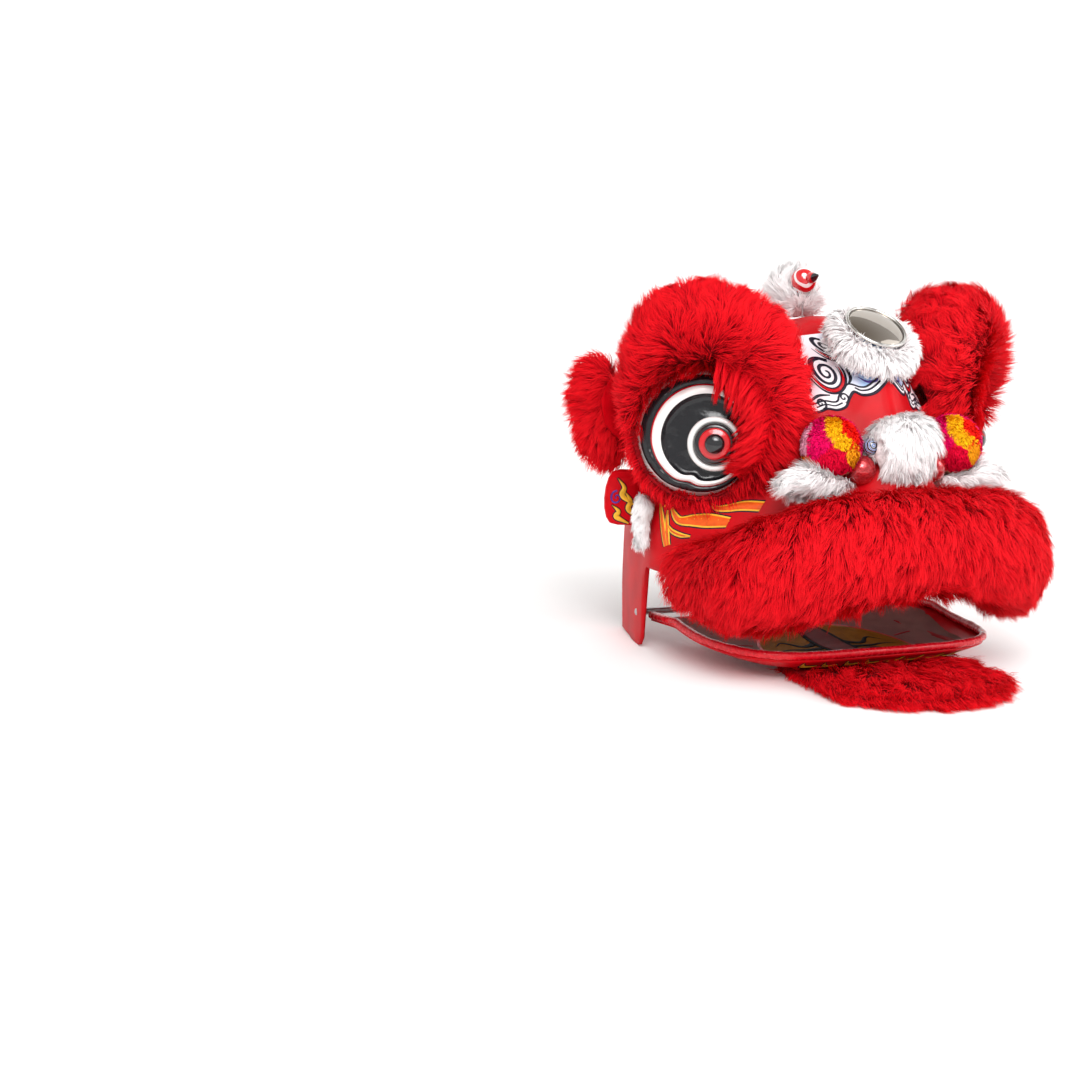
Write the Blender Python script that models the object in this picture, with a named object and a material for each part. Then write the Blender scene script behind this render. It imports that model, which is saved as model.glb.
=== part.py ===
"""Lion dance head, lying on its jaw and the back rim of its shell.

Metres, +Z up. The face looks along -Y, and a name that ends in left is on the -X side.
Sizes are given in head coordinates, whose Y is measured from the jaw's own middle. The empty
head_origin moves them so that the whole head stands over the origin.
"""

import math

import bmesh
import bpy
from mathutils import Matrix, Vector

# Clearance between pieces that touch
GAP = 0.0003

# Papier-mache shell: the rim rests on the surface behind, and the board carries it in front
SHELL_WALL = 0.003
REAR_RIM_Y = 0.190
SHELL_HEIGHT = 0.468
SHELL_HALF_WIDTH = 0.262
SHELL_FRONT_Y = -0.172
# y share of the way from the front to the rear rim, crown share of SHELL_HEIGHT, and half widths
# as shares of SHELL_HALF_WIDTH at the foot and at a quarter, half and three quarters of the height
SHELL_SECTIONS = (
    # along, foot, crown, w_foot, w_quarter, w_half, w_three
    (0.000, 0.300, 0.600, 0.42, 0.40, 0.34, 0.22),
    (0.110, 0.270, 0.755, 0.60, 0.50, 0.32, 0.18),
    (0.200, 0.250, 0.875, 0.74, 0.62, 0.40, 0.23),
    (0.335, 0.200, 0.965, 0.85, 0.80, 0.56, 0.38),
    (0.475, 0.150, 0.997, 0.92, 0.92, 0.73, 0.49),
    (0.610, 0.100, 1.000, 0.95, 0.97, 0.88, 0.64),
    (0.750, -0.030, 0.985, 0.91, 0.93, 0.90, 0.73),
    (0.880, -0.030, 0.950, 0.85, 0.88, 0.87, 0.73),
    (1.020, -0.030, 0.900, 0.78, 0.81, 0.80, 0.67),
)

# The shell's blunt front end, as a share of its first section and how far it comes forward
SHELL_NOSE_SHARE = 0.55
SHELL_NOSE_FORWARD = 0.008

# Board of the upper lip
BOARD_THICK = 0.004
BOARD_HALF_WIDTH = 0.240
BOARD_FRONT_Y = -0.218
BOARD_BACK_Y = 0.070
BOARD_MIDDLE_Z = 0.172
BOARD_SIDE_Z = 0.118
LIP_SQUARENESS = 3.0
# Rings of the board from its middle out, as shares of its half width, and points round its front
BOARD_SHARES = (0.45, 0.8, 1.0)
BOARD_COLUMNS = 16
# Straight spans along the back edge of the board and of the jaw's tray
BACK_SPANS = 6

# Fur roll of the upper lip, round the board's edge
LIP_HALF_THICK = 0.055
LIP_FRONT_TOP = SHELL_HEIGHT - 0.196
LIP_FRONT_UNDER = 0.130
LIP_SIDE_TOP = SHELL_HEIGHT - 0.270
LIP_SIDE_UNDER = 0.056
LIP_END_Y = 0.020
LIP_LOCK = 0.010
# The roll's ends taper to this share over so many stations
LIP_END_SHARE = 0.55
LIP_END_STATIONS = 3
# Room that its locks need, in their own length
LIP_ROOM = 1.1

# Lower jaw
JAW_WALL = 0.003
JAW_HALF_WIDTH = 0.224
JAW_FRONT_Y = -0.160
JAW_FLOOR_Z = 0.012
JAW_RIM_RISE = 0.019
JAW_RIM_FADE = 0.060
JAW_SQUARENESS = 4.6
JAW_COLUMNS = 16
# Rings of the tray from its middle out, as shares of its half width. The rim rises from the second
JAW_SHARES = (0.40, 0.72, 0.86, 1.00)
BINDING_RADIUS = 0.0042
# How high the binding's middle runs over the sloping rim, in its own radii
BINDING_LIFT = 1.12
ROD_Y = 0.100
ROD_Z = 0.046
ROD_RADIUS = 0.005
ROD_HALF_LENGTH = SHELL_HALF_WIDTH - 0.020
SLEEVE_WALL = 0.003
SLEEVE_HALF_LENGTH = 0.150
JAW_BACK_Y = 0.088

# Beard on the jaw's front wall, spread on the surface
BEARD_FRONT_Y = -0.325
BEARD_HALF_WIDTH = 0.150
BEARD_BACK_Y = -0.070
BEARD_HEIGHT = 0.030
BEARD_LOCK = 0.012
BEARD_STATIONS = 10
BEARD_COLUMNS = 10
# Shares by which the fan falls back and flattens towards its sides, and spreads at its front
BEARD_FALL = 0.22
BEARD_CORNER_FALL = 0.10
BEARD_FLATTEN = 0.35
BEARD_SPREAD = 0.12
BEARD_ROOT_SHARE = 0.93
# How far the upper points of the fan lie over the ones on the surface
BEARD_STEP = 0.002

# Eyes: the plane of each eye faces outward and a little up
EYE_X = 0.203
EYE_Y = -0.006
EYE_Z = SHELL_HEIGHT - 0.168
EYE_OUT_DEG = 34.0
EYE_UP_DEG = 8.0
EYE_PLATE_TUCK = 0.005
EYE_PLATE_CROWN = 0.016
EYE_PLATE_DEPTH = 0.085
WHITE_RING_OUTER = 0.037
WHITE_RING_INNER = 0.0285
WHITE_RING_HEIGHT = 0.008
BLACK_DOME_RADIUS = 0.0278
BLACK_DOME_HEIGHT = 0.016
IRIS_RADIUS = 0.0215
IRIS_HEIGHT = 0.006
BEAD_RADIUS = 0.0136
BEAD_HEIGHT = 0.010

# Fur round each eye, as radii from the eye's middle in the eye's plane
BROW_REACH = 0.230
BROW_BULGE = 0.080
BROW_BACK = 0.075
BROW_LOCK = 0.012
BROW_SECTIONS = (
    # angle from the inner side, inner and outer radius as shares of BROW_REACH, bulge share
    (0.0, 0.19, 0.545, 0.80),
    (35.0, 0.24, 0.655, 0.90),
    (62.0, 0.31, 0.850, 0.97),
    (90.0, 0.375, 0.975, 1.00),
    (118.0, 0.415, 0.980, 0.92),
    (146.0, 0.435, 0.740, 0.68),
    (180.0, 0.425, 0.545, 0.42),
    (215.0, 0.365, 0.510, 0.36),
    (250.0, 0.290, 0.440, 0.36),
    (290.0, 0.240, 0.385, 0.42),
    (325.0, 0.200, 0.415, 0.60),
)

# Ears
EAR_ROOT = (0.238, 0.127, SHELL_HEIGHT - 0.133)
EAR_REACH = 0.098
EAR_HALF_HEIGHT = 0.084
EAR_HALF_THICK = 0.020
EAR_DROOP_DEG = 12.0
EAR_BACK_DEG = 9.0
EAR_FUR_START = 0.012
EAR_LOCK = 0.014
LEAF_START = 0.005
LEAF_SHARE = 0.55
LEAF_THICK = 0.003
LEAF_CUP = 0.004
EAR_PIN_RADIUS = 0.003
EAR_PIN_DEPTH = 0.070

# Nose and what is on it
NOSE_CENTRE = (0.0, -0.150, SHELL_HEIGHT - 0.156)
NOSE_HALF = (0.062, 0.038, 0.051)
NOSE_LOCK = 0.007
NOSTRIL_CENTRE = (0.058, -0.140, SHELL_HEIGHT - 0.184)
NOSTRIL_RADIUS = 0.0205
KNOB_CENTRE = (0.050, -0.146, SHELL_HEIGHT - 0.1515)
KNOB_RADIUS = 0.0115
MOUSTACHE_CENTRE = (0.128, -0.138, SHELL_HEIGHT - 0.198)
MOUSTACHE_HALF = (0.058, 0.026, 0.022)
MOUSTACHE_LOCK = 0.006
POMPOM_CENTRE = (0.101, -0.128, SHELL_HEIGHT - 0.154)
POMPOM_RADIUS = 0.041
POMPOM_LOCK = 0.0025
SPRING_RADIUS = 0.002

# Mirror on the forehead
MIRROR_CENTRE = (0.0, -0.070, SHELL_HEIGHT - 0.002)
MIRROR_TILT_DEG = 31.0
MIRROR_RADIUS = 0.0395
MIRROR_CROWN = 0.006
MIRROR_THICK = 0.003
MIRROR_RIM_RADIUS = 0.0024
MIRROR_COLUMNS = 18
MIRROR_FUR_REACH = 0.084
MIRROR_FUR_HALF_HEIGHT = 0.020
MIRROR_FUR_LOCK = 0.007
MIRROR_FUR_STATIONS = 16
# Share by which the ring reaches further in front and less behind
MIRROR_FUR_FORWARD = 0.12

# Horn
HORN_BEAD_CENTRE = (0.0, 0.105, SHELL_HEIGHT + 0.044)
HORN_BEAD_RADIUS = 0.0185
HORN_FUR_CENTRE = (0.0, 0.128, SHELL_HEIGHT + 0.018)
HORN_FUR_HALF = (0.042, 0.030, 0.038)
HORN_FUR_LOCK = 0.007
HORN_STEM_RADIUS = 0.0012
HORN_STEM_LEAN = 0.008
HORN_TIP_RADIUS = 0.0075
HORN_TIP_LENGTH = 0.020
HORN_TIP_RISE_DEG = 18.0

# Cheek trims
STRIP_CENTRE = (0.262, 0.068, SHELL_HEIGHT - 0.276)
STRIP_HALF = (0.014, 0.013, 0.048)
STRIP_LOCK = 0.004
FIN_Y = 0.112
FIN_Z = SHELL_HEIGHT - 0.262
FIN_REACH = 0.030
FIN_HALF_HEIGHT = 0.040
FIN_THICK = 0.003
FIN_BOW = 0.010

# The whole head stands over the origin
SHIFT_Y = -(REAR_RIM_Y + BEARD_FRONT_Y) / 2

RED_FUR = ("red fur", (0.79, 0.0, 0.007), 0.9, 0.0)
WHITE_FUR = ("white fur", (0.90, 0.87, 0.87), 0.9, 0.0)
RED_PAINT = ("red paint", (0.62, 0.01, 0.015), 0.35, 0.0)
FLAME_PAINT = ("flame paint", (0.85, 0.30, 0.03), 0.35, 0.0)
JAW_PAINT = ("jaw paint", (0.45, 0.19, 0.02), 0.30, 0.0)
RED_VINYL = ("red vinyl", (0.70, 0.03, 0.04), 0.30, 0.0)
BLACK_GLOSS = ("black gloss", (0.012, 0.012, 0.014), 0.10, 0.0)
WHITE_GLOSS = ("white gloss", (0.86, 0.85, 0.83), 0.15, 0.0)
RED_GLOSS = ("red gloss", (0.60, 0.0, 0.01), 0.12, 0.0)
CHROME = ("chrome", (0.80, 0.78, 0.76), 0.06, 1.0)
STEEL_WIRE = ("steel wire", (0.55, 0.55, 0.56), 0.30, 1.0)
BOARD_WOOD = ("board", (0.05, 0.03, 0.02), 0.70, 0.0)
POMPOM_YARN = ("pompom yarn", (0.80, 0.10, 0.10), 0.9, 0.0)


def clear_scene():
    for old in list(bpy.data.objects):
        bpy.data.objects.remove(old, do_unlink=True)


def material(finish):
    name, colour, roughness, metallic = finish
    if name in bpy.data.materials:
        return bpy.data.materials[name]
    made = bpy.data.materials.new(name)
    made.use_nodes = True
    shader = made.node_tree.nodes["Principled BSDF"]
    shader.inputs["Base Color"].default_value = (*colour, 1.0)
    shader.inputs["Roughness"].default_value = roughness
    shader.inputs["Metallic"].default_value = metallic
    made.diffuse_color = (*colour, 1.0)
    return made


def empty(name, place, parent=None):
    made = bpy.data.objects.new(name, None)
    bpy.context.collection.objects.link(made)
    made.parent = parent
    made.location = Vector(place) - (Vector(parent["head_place"]) if parent else Vector())
    made["head_place"] = tuple(place)
    return made


def piece(name, points, faces, finish, parent, smooth=True):
    """One closed body from points in head coordinates, placed under its parent empty."""
    mesh = bpy.data.meshes.new(name)
    base = Vector(parent["head_place"])
    mesh.from_pydata([Vector(p) - base for p in points], [], faces)
    tidy = bmesh.new()
    tidy.from_mesh(mesh)
    bmesh.ops.remove_doubles(tidy, verts=tidy.verts, dist=1e-6)
    bmesh.ops.recalc_face_normals(tidy, faces=tidy.faces)
    if tidy.calc_volume(signed=True) < 0:
        bmesh.ops.reverse_faces(tidy, faces=tidy.faces)
    tidy.to_mesh(mesh)
    tidy.free()
    mesh.materials.append(material(finish))
    if smooth:
        mesh.shade_smooth()
        mesh.set_sharp_from_angle(angle=math.radians(40))
    made = bpy.data.objects.new(name, mesh)
    bpy.context.collection.objects.link(made)
    made.parent = parent
    return made


def cutter(name, points, faces, parent):
    made = piece(name, points, faces, BOARD_WOOD, parent, smooth=False)
    made.hide_render = True
    made.display_type = "WIRE"
    return made


def cut(target, *tools, union=False, solver="EXACT"):
    for tool in tools:
        step = target.modifiers.new("cut by " + tool.name, "BOOLEAN")
        step.operation = "UNION" if union else "DIFFERENCE"
        step.solver = solver
        step.object = tool


def smooth_table(rows, steps):
    """Rows of numbers with steps - 1 more rows between each two, on a Catmull-Rom curve."""
    out = []
    for i in range(len(rows) - 1):
        before, a = rows[max(i - 1, 0)], rows[i]
        b, after = rows[i + 1], rows[min(i + 2, len(rows) - 1)]
        for k in range(steps):
            t = k / steps
            out.append(
                tuple(
                    0.5
                    * (
                        2 * q
                        + (r - p) * t
                        + (2 * p - 5 * q + 4 * r - s) * t**2
                        + (3 * q - p - 3 * r + s) * t**3
                    )
                    for p, q, r, s in zip(before, a, b, after)
                )
            )
    out.append(tuple(rows[-1]))
    return out


def looped_table(rows, steps):
    """The same for rows that close on themselves. The first column is an angle in degrees."""
    first = (rows[0][0] + 360.0, *rows[0][1:])
    second = (rows[1][0] + 360.0, *rows[1][1:])
    last = (rows[-1][0] - 360.0, *rows[-1][1:])
    wide = [last, *rows, first, second]
    return smooth_table(wide, steps)[steps : steps * (len(rows) + 1)]


def ring_faces(rings, columns, closed):
    """Quads between rings of points. With closed, the last ring joins the first."""
    faces = []
    for i in range(rings if closed else rings - 1):
        a, b = i * columns, (i + 1) % rings * columns
        for j in range(columns):
            k = (j + 1) % columns
            faces.append((a + j, a + k, b + k, b + j))
    return faces


def split_quads(points, faces):
    """Quads as triangles, mirrored over the middle plane, so that a sheet and the room left for it
    have the same diagonals and stay the same distance apart."""
    out = []
    for face in faces:
        if len(face) == 3:
            out.append(face)
            continue
        a, b, c, d = face
        if sum(points[i].x for i in face) > 0:
            out += [(a, b, c), (a, c, d)]
        else:
            out += [(a, b, d), (b, c, d)]
    return out


def ring_body(rings, closed=False):
    """Points and faces of a closed body through rings of points, with fans over its two ends."""
    columns = len(rings[0])
    points = [p for ring in rings for p in ring]
    faces = ring_faces(len(rings), columns, closed)
    if not closed:
        for first, ring in ((0, rings[0]), ((len(rings) - 1) * columns, rings[-1])):
            points.append(sum(ring, Vector()) / columns)
            tip = len(points) - 1
            faces += [(first + j, first + (j + 1) % columns, tip) for j in range(columns)]
    return points, faces


def signed_volume(points, faces):
    total = 0.0
    for face in faces:
        a = points[face[0]]
        for b, c in zip(face[1:-1], face[2:]):
            total += a.dot(points[b].cross(points[c])) / 6
    return total


def with_locks(body, lock, lean, volume=None):
    """Raises each face of a body into a leaning point, which gives the fur its locks.

    lean(point) is the direction that the hair lies in there, as long as 1 or less. volume tells
    which way the faces turn where the body is only part of a closed one."""
    points, faces = list(body[0]), []
    sign = 1.0
    ring_normals = []
    for face in body[1]:
        corners = [body[0][i] for i in face]
        if len(face) == 4:
            normal = (corners[2] - corners[0]).cross(corners[3] - corners[1])
        else:
            normal = (corners[1] - corners[0]).cross(corners[2] - corners[0])
        ring_normals.append(normal.normalized() if normal.length > 1e-12 else Vector())
    if (signed_volume(body[0], body[1]) if volume is None else volume) < 0:
        sign = -1.0
    for count, (face, normal) in enumerate(zip(body[1], ring_normals)):
        middle = sum((body[0][i] for i in face), Vector()) / len(face)
        size = lock * (0.55 + 0.15 * (count * 7 % 4))
        tip = len(points)
        points.append(middle + (normal * sign + lean(middle)).normalized() * size)
        faces += [(a, b, tip) for a, b in zip(face, face[1:] + face[:1])]
    return points, faces


def ball_rings(centre, half, rings, columns, axis="Z"):
    """Rings of an ellipsoid with half sizes along X, Y, Z, between its poles on one axis."""
    out = []
    for i in range(1, rings + 1):
        polar = math.pi * i / (rings + 1)
        ring = []
        for j in range(columns):
            around = 2 * math.pi * (j + 0.5) / columns
            side_a = math.sin(polar) * math.cos(around)
            side_b = math.sin(polar) * math.sin(around)
            along = math.cos(polar)
            unit = {
                "X": (along, side_a, side_b),
                "Y": (side_b, along, side_a),
                "Z": (side_a, side_b, along),
            }[axis]
            offset = Vector((unit[0] * half[0], unit[1] * half[1], unit[2] * half[2]))
            ring.append(Vector(centre) + offset)
        out.append(ring)
    return out


def ball_body(centre, half, rings, columns, axis="Z"):
    """An ellipsoid whose end fans reach its true poles."""
    points, faces = ring_body(ball_rings(centre, half, rings, columns, axis))
    pole = Vector((0, 0, 0))
    pole["XYZ".index(axis)] = half["XYZ".index(axis)]
    points[-2] = Vector(centre) + pole
    points[-1] = Vector(centre) - pole
    return points, faces


def turned(profile, columns, frame):
    """A body turned round the Z of a frame, from (radius, height) rows that start and end on it."""
    points = [frame @ Vector((0, 0, profile[0][1]))]
    for radius, height in profile[1:-1]:
        for j in range(columns):
            a = 2 * math.pi * j / columns
            points.append(frame @ Vector((radius * math.cos(a), radius * math.sin(a), height)))
    points.append(frame @ Vector((0, 0, profile[-1][1])))
    rows = len(profile) - 2
    faces = [(0, 1 + (j + 1) % columns, 1 + j) for j in range(columns)]
    for i in range(rows - 1):
        a, b = 1 + i * columns, 1 + (i + 1) * columns
        for j in range(columns):
            k = (j + 1) % columns
            faces.append((a + j, a + k, b + k, b + j))
    last, end = 1 + (rows - 1) * columns, len(points) - 1
    faces += [(last + j, last + (j + 1) % columns, end) for j in range(columns)]
    return points, faces


def turned_ring(profile, columns, frame):
    """A ring turned round the Z of a frame, from a closed outline of (radius, height) rows."""
    rings = []
    for j in range(columns):
        a = 2 * math.pi * j / columns
        rings.append([frame @ Vector((r * math.cos(a), r * math.sin(a), h)) for r, h in profile])
    return ring_body(rings, closed=True)


def frame_at(origin, normal, right):
    """A matrix whose X is right, whose Z is the normal and whose origin is the point."""
    z = Vector(normal).normalized()
    x = (Vector(right) - z * Vector(right).dot(z)).normalized()
    turn = Matrix((x, z.cross(x), z)).transposed()
    return Matrix.Translation(Vector(origin)) @ turn.to_4x4()


def rod_body(start, end, radius, columns=8):
    start, end = Vector(start), Vector(end)
    along = end - start
    helper = Vector((1, 0, 0)) if abs(along.normalized().x) < 0.9 else Vector((0, 1, 0))
    frame = frame_at(start, along, helper)
    return turned([(0, 0), (radius, 0), (radius, along.length), (0, along.length)], columns, frame)


def cross_rod(half_length, radius):
    """A rod on the jaw's axis."""
    return rod_body((-half_length, ROD_Y, ROD_Z), (half_length, ROD_Y, ROD_Z), radius, 12)


def box_body(low, high):
    heights, depths, widths = (low[2], high[2]), (low[1], high[1]), (low[0], high[0])
    points = [Vector((x, y, z)) for z in heights for y in depths for x in widths]
    faces = [(0, 2, 3, 1), (4, 5, 7, 6), (0, 1, 5, 4), (2, 6, 7, 3), (0, 4, 6, 2), (1, 3, 7, 5)]
    return points, faces


def shell_rows(outward=0.0):
    """Rows of points over the shell, from foot to foot, moved outward by an amount."""
    length = REAR_RIM_Y - SHELL_FRONT_Y
    rows = []
    for along, foot, crown, *widths in SHELL_SECTIONS:
        y = SHELL_FRONT_Y + along * length
        low, high = foot * SHELL_HEIGHT, crown * SHELL_HEIGHT
        half = [(w * SHELL_HALF_WIDTH, low + (high - low) * k / 4) for k, w in enumerate(widths)]
        outline = [(-x, z) for x, z in half] + [(0.0, high)] + [(x, z) for x, z in reversed(half)]
        rows.append([Vector((x, y, z)) for x, z in smooth_table(outline, 2)])
    first = rows[0]
    middle = sum(first, Vector()) / len(first)
    forward = Vector((0, SHELL_NOSE_FORWARD, 0))
    rows.insert(0, [middle + (p - middle) * SHELL_NOSE_SHARE - forward for p in first])
    if outward:
        moved = []
        for i, row in enumerate(rows):
            before, after = rows[max(i - 1, 0)], rows[min(i + 1, len(rows) - 1)]
            line = []
            for j, p in enumerate(row):
                left, right = row[max(j - 1, 0)], row[min(j + 1, len(row) - 1)]
                normal = (right - left).cross(after[j] - before[j])
                if normal.dot(p - Vector((0, p.y + 0.05, 0.2))) < 0:
                    normal.negate()
                line.append(p + normal.normalized() * outward)
            moved.append(line)
        rows = moved
    return rows


def board_height(x):
    return BOARD_MIDDLE_Z + (BOARD_SIDE_Z - BOARD_MIDDLE_Z) * min(1.0, (x / BOARD_HALF_WIDTH) ** 2)


def arch_point(share, half_width, front_y, back_y, squareness):
    """A point on a squarish arch in plan. share runs from -1 at the left end to 1 at the right."""
    angle = share * math.pi / 2
    s, c = math.sin(angle), math.cos(angle)
    x = half_width * math.copysign(abs(s) ** (2 / squareness), s)
    y = back_y + (front_y - back_y) * abs(c) ** (2 / squareness)
    return x, y


def plan_rings(half_width, front_y, back_y, squareness, height, shares, columns):
    """Rings of a D-shaped plan, from its middle out, with the height of each point."""
    middle_y = (front_y + back_y) / 2
    rings = []
    turns = [-1 + 2 * j / columns for j in range(columns + 1)]
    arch = [arch_point(turn, half_width, front_y, back_y, squareness) for turn in turns]
    back = [(half_width * (1 - 2 * j / BACK_SPANS), back_y) for j in range(1, BACK_SPANS)]
    for share in shares:
        ring = []
        for x, y in arch + back:
            px, py = x * share, middle_y + (y - middle_y) * share
            ring.append(Vector((px, py, height(px, py, share))))
        rings.append(ring)
    return rings


def plate_body(rings, thick):
    """A plate of even height under rings that run from its middle to its edge."""
    columns = len(rings[0])
    top = [p for ring in rings for p in ring] + [sum(rings[0], Vector()) / columns]
    low = [p - Vector((0, 0, thick)) for p in top]
    count = len(top)
    faces = []
    sheet = ring_faces(len(rings), columns, False)
    sheet += [(j, (j + 1) % columns, count - 1) for j in range(columns)]
    faces += sheet
    faces += [tuple(i + count for i in reversed(face)) for face in sheet]
    edge = (len(rings) - 1) * columns
    for j in range(columns):
        k = (j + 1) % columns
        faces.append((edge + j, edge + k, edge + k + count, edge + j + count))
    return top + low, split_quads(top + low, faces)


def make_shell(parent, tools):
    rows = shell_rows()
    columns = len(rows[0])
    points = [p for row in rows for p in row]
    faces = []
    for i in range(len(rows) - 1):
        for j in range(columns - 1):
            a, b = i * columns + j, (i + 1) * columns + j
            faces.append((a, a + 1, b + 1, b))
    points.append(sum(rows[0], Vector()) / columns)
    faces += [(j + 1, j, len(points) - 1) for j in range(columns - 1)]
    mesh = bpy.data.meshes.new("head_shell")
    mesh.from_pydata(points, [], split_quads(points, faces))
    tidy = bmesh.new()
    tidy.from_mesh(mesh)
    bmesh.ops.recalc_face_normals(tidy, faces=tidy.faces)
    top = max(tidy.faces, key=lambda f: f.calc_center_median().z)
    if top.normal.z < 0:
        bmesh.ops.reverse_faces(tidy, faces=tidy.faces)
    tidy.to_mesh(mesh)
    tidy.free()
    mesh.materials.append(material(RED_PAINT))
    mesh.shade_smooth()
    shell = bpy.data.objects.new("head_shell", mesh)
    bpy.context.collection.objects.link(shell)
    shell.parent = parent
    wall = shell.modifiers.new("wall", "SOLIDIFY")
    wall.thickness = SHELL_WALL
    wall.offset = -1.0
    wall.use_even_offset = True
    cut(shell, *tools)
    return shell


def shell_keepout(name, parent, clearance):
    points, faces = ring_body(shell_rows(outward=clearance))
    return cutter(name, points, split_quads(points, faces), parent)


def board_rings(clearance):
    """Rings of the board, larger by a clearance."""
    return plan_rings(
        BOARD_HALF_WIDTH + clearance,
        BOARD_FRONT_Y - clearance,
        BOARD_BACK_Y + clearance,
        LIP_SQUARENESS,
        lambda x, y, share: board_height(x) + clearance,
        BOARD_SHARES,
        BOARD_COLUMNS,
    )


def make_board(parent):
    points, faces = plate_body(board_rings(0.0), BOARD_THICK)
    return piece("lip_board", points, faces, BOARD_WOOD, parent)


def board_keepout(name, parent, clearance, drop):
    """The room of the board, larger by a clearance, with drop more room under it."""
    points, faces = plate_body(board_rings(clearance), BOARD_THICK + 2 * clearance + drop)
    return cutter(name, points, faces, parent)


def lip_rings(outward, stations=18, columns=8):
    """Rings across the lip's roll. The roll rises at the middle of the mouth."""
    path = []
    for i in range(stations + 1):
        share = -1 + 2 * i / stations
        x, y = arch_point(share, BOARD_HALF_WIDTH, BOARD_FRONT_Y, LIP_END_Y, LIP_SQUARENESS)
        side = min(1.0, abs(x) / BOARD_HALF_WIDTH)
        top = LIP_FRONT_TOP + (LIP_SIDE_TOP - LIP_FRONT_TOP) * side**4
        under = LIP_FRONT_UNDER + (LIP_SIDE_UNDER - LIP_FRONT_UNDER) * side**1.7
        z, tall = (top + under) / 2, (top - under) / 2
        inward = min(i, stations - i) / LIP_END_STATIONS
        end = min(1.0, LIP_END_SHARE + (1 - LIP_END_SHARE) * inward)
        path.append((Vector((x, y, z)), tall * end, LIP_HALF_THICK * end))
    rings = []
    for i, (middle, tall, thick) in enumerate(path):
        before, after = path[max(i - 1, 0)][0], path[min(i + 1, stations)][0]
        along = (after - before).normalized()
        up = Vector((0, 0, 1))
        out = along.cross(up).normalized()
        ring = []
        for j in range(columns):
            a = 2 * math.pi * j / columns
            spread = out * (math.cos(a) * (thick + outward)) + up * (math.sin(a) * (tall + outward))
            ring.append(middle + spread)
        rings.append(ring)
    return rings


def make_lip(parent, *tools):
    def lean(p):
        away = Vector((p.x, p.y - LIP_END_Y, 0)).normalized()
        return away * 0.35 + Vector((0, 0, -0.45))

    points, faces = with_locks(ring_body(lip_rings(0.0)), LIP_LOCK, lean)
    lip = piece("upper_lip_fur", points, faces, RED_FUR, parent)
    cut(lip, *tools)
    return lip


def jaw_floor(y):
    """Height of the jaw's painted floor: level in front, rising to the rod behind."""
    front = JAW_FRONT_Y * 0.3
    rise = max(0.0, (y - front) / (JAW_BACK_Y - front))
    return JAW_FLOOR_Z + JAW_WALL + (ROD_Z - ROD_RADIUS - JAW_FLOOR_Z) * rise**1.6 * 0.8


def jaw_height(x, y, share):
    """The floor, with a rim that fades out towards the rod, where the throat is open."""
    open_back = min(1.0, (JAW_BACK_Y - y) / JAW_RIM_FADE)
    bend = JAW_SHARES[1]
    return jaw_floor(y) + JAW_RIM_RISE * open_back * max(0.0, (share - bend) / (1 - bend)) ** 1.5


def jaw_rings(shares):
    return plan_rings(
        JAW_HALF_WIDTH,
        JAW_FRONT_Y,
        JAW_BACK_Y,
        JAW_SQUARENESS,
        jaw_height,
        shares,
        JAW_COLUMNS,
    )


def make_jaw(parent):
    points, faces = plate_body(jaw_rings(JAW_SHARES), JAW_WALL)
    tray = piece("jaw_tray", points, faces, JAW_PAINT, parent)
    outer = ROD_RADIUS + GAP + SLEEVE_WALL
    sleeve = cutter("sleeve", *cross_rod(SLEEVE_HALF_LENGTH, outer), parent)
    web = cutter(
        "sleeve web",
        *box_body(
            (-SLEEVE_HALF_LENGTH, JAW_BACK_Y - 0.012, jaw_floor(JAW_BACK_Y) - JAW_WALL),
            (SLEEVE_HALF_LENGTH, ROD_Y, jaw_floor(JAW_BACK_Y) + JAW_WALL),
        ),
        parent,
    )
    bore = cutter("sleeve bore", *cross_rod(ROD_HALF_LENGTH, ROD_RADIUS + GAP), parent)
    cut(tray, web, sleeve, union=True)
    cut(tray, bore)
    return tray


def jaw_keepout(name, parent):
    """The room of the tray with its binding, and all that is over it."""
    wider = 2 * BINDING_RADIUS
    rings = plan_rings(
        JAW_HALF_WIDTH + wider,
        JAW_FRONT_Y - wider,
        JAW_BACK_Y,
        JAW_SQUARENESS,
        lambda x, y, share: jaw_height(x, y, share) + BEARD_HEIGHT,
        JAW_SHARES,
        JAW_COLUMNS,
    )
    points, faces = plate_body(rings, BEARD_HEIGHT + JAW_WALL + GAP)
    return cutter(name, points, faces, parent)


def tube_body(path, radius, columns=6):
    """A tube of even radius along a path of points that stays near level."""
    rings = []
    for i, middle in enumerate(path):
        along = path[min(i + 1, len(path) - 1)] - path[max(i - 1, 0)]
        frame = frame_at(middle, along, Vector((0, 0, 1)))
        ring = []
        for j in range(columns):
            a = 2 * math.pi * j / columns
            ring.append(frame @ Vector((radius * math.cos(a), radius * math.sin(a), 0)))
        rings.append(ring)
    return ring_body(rings)


def make_binding(parent):
    rim = jaw_rings((1.0,))[0][: JAW_COLUMNS + 1]
    path = [p + Vector((0, 0, BINDING_RADIUS * BINDING_LIFT + GAP)) for p in rim]
    return piece("jaw_binding", *tube_body(path, BINDING_RADIUS), RED_VINYL, parent)


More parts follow.
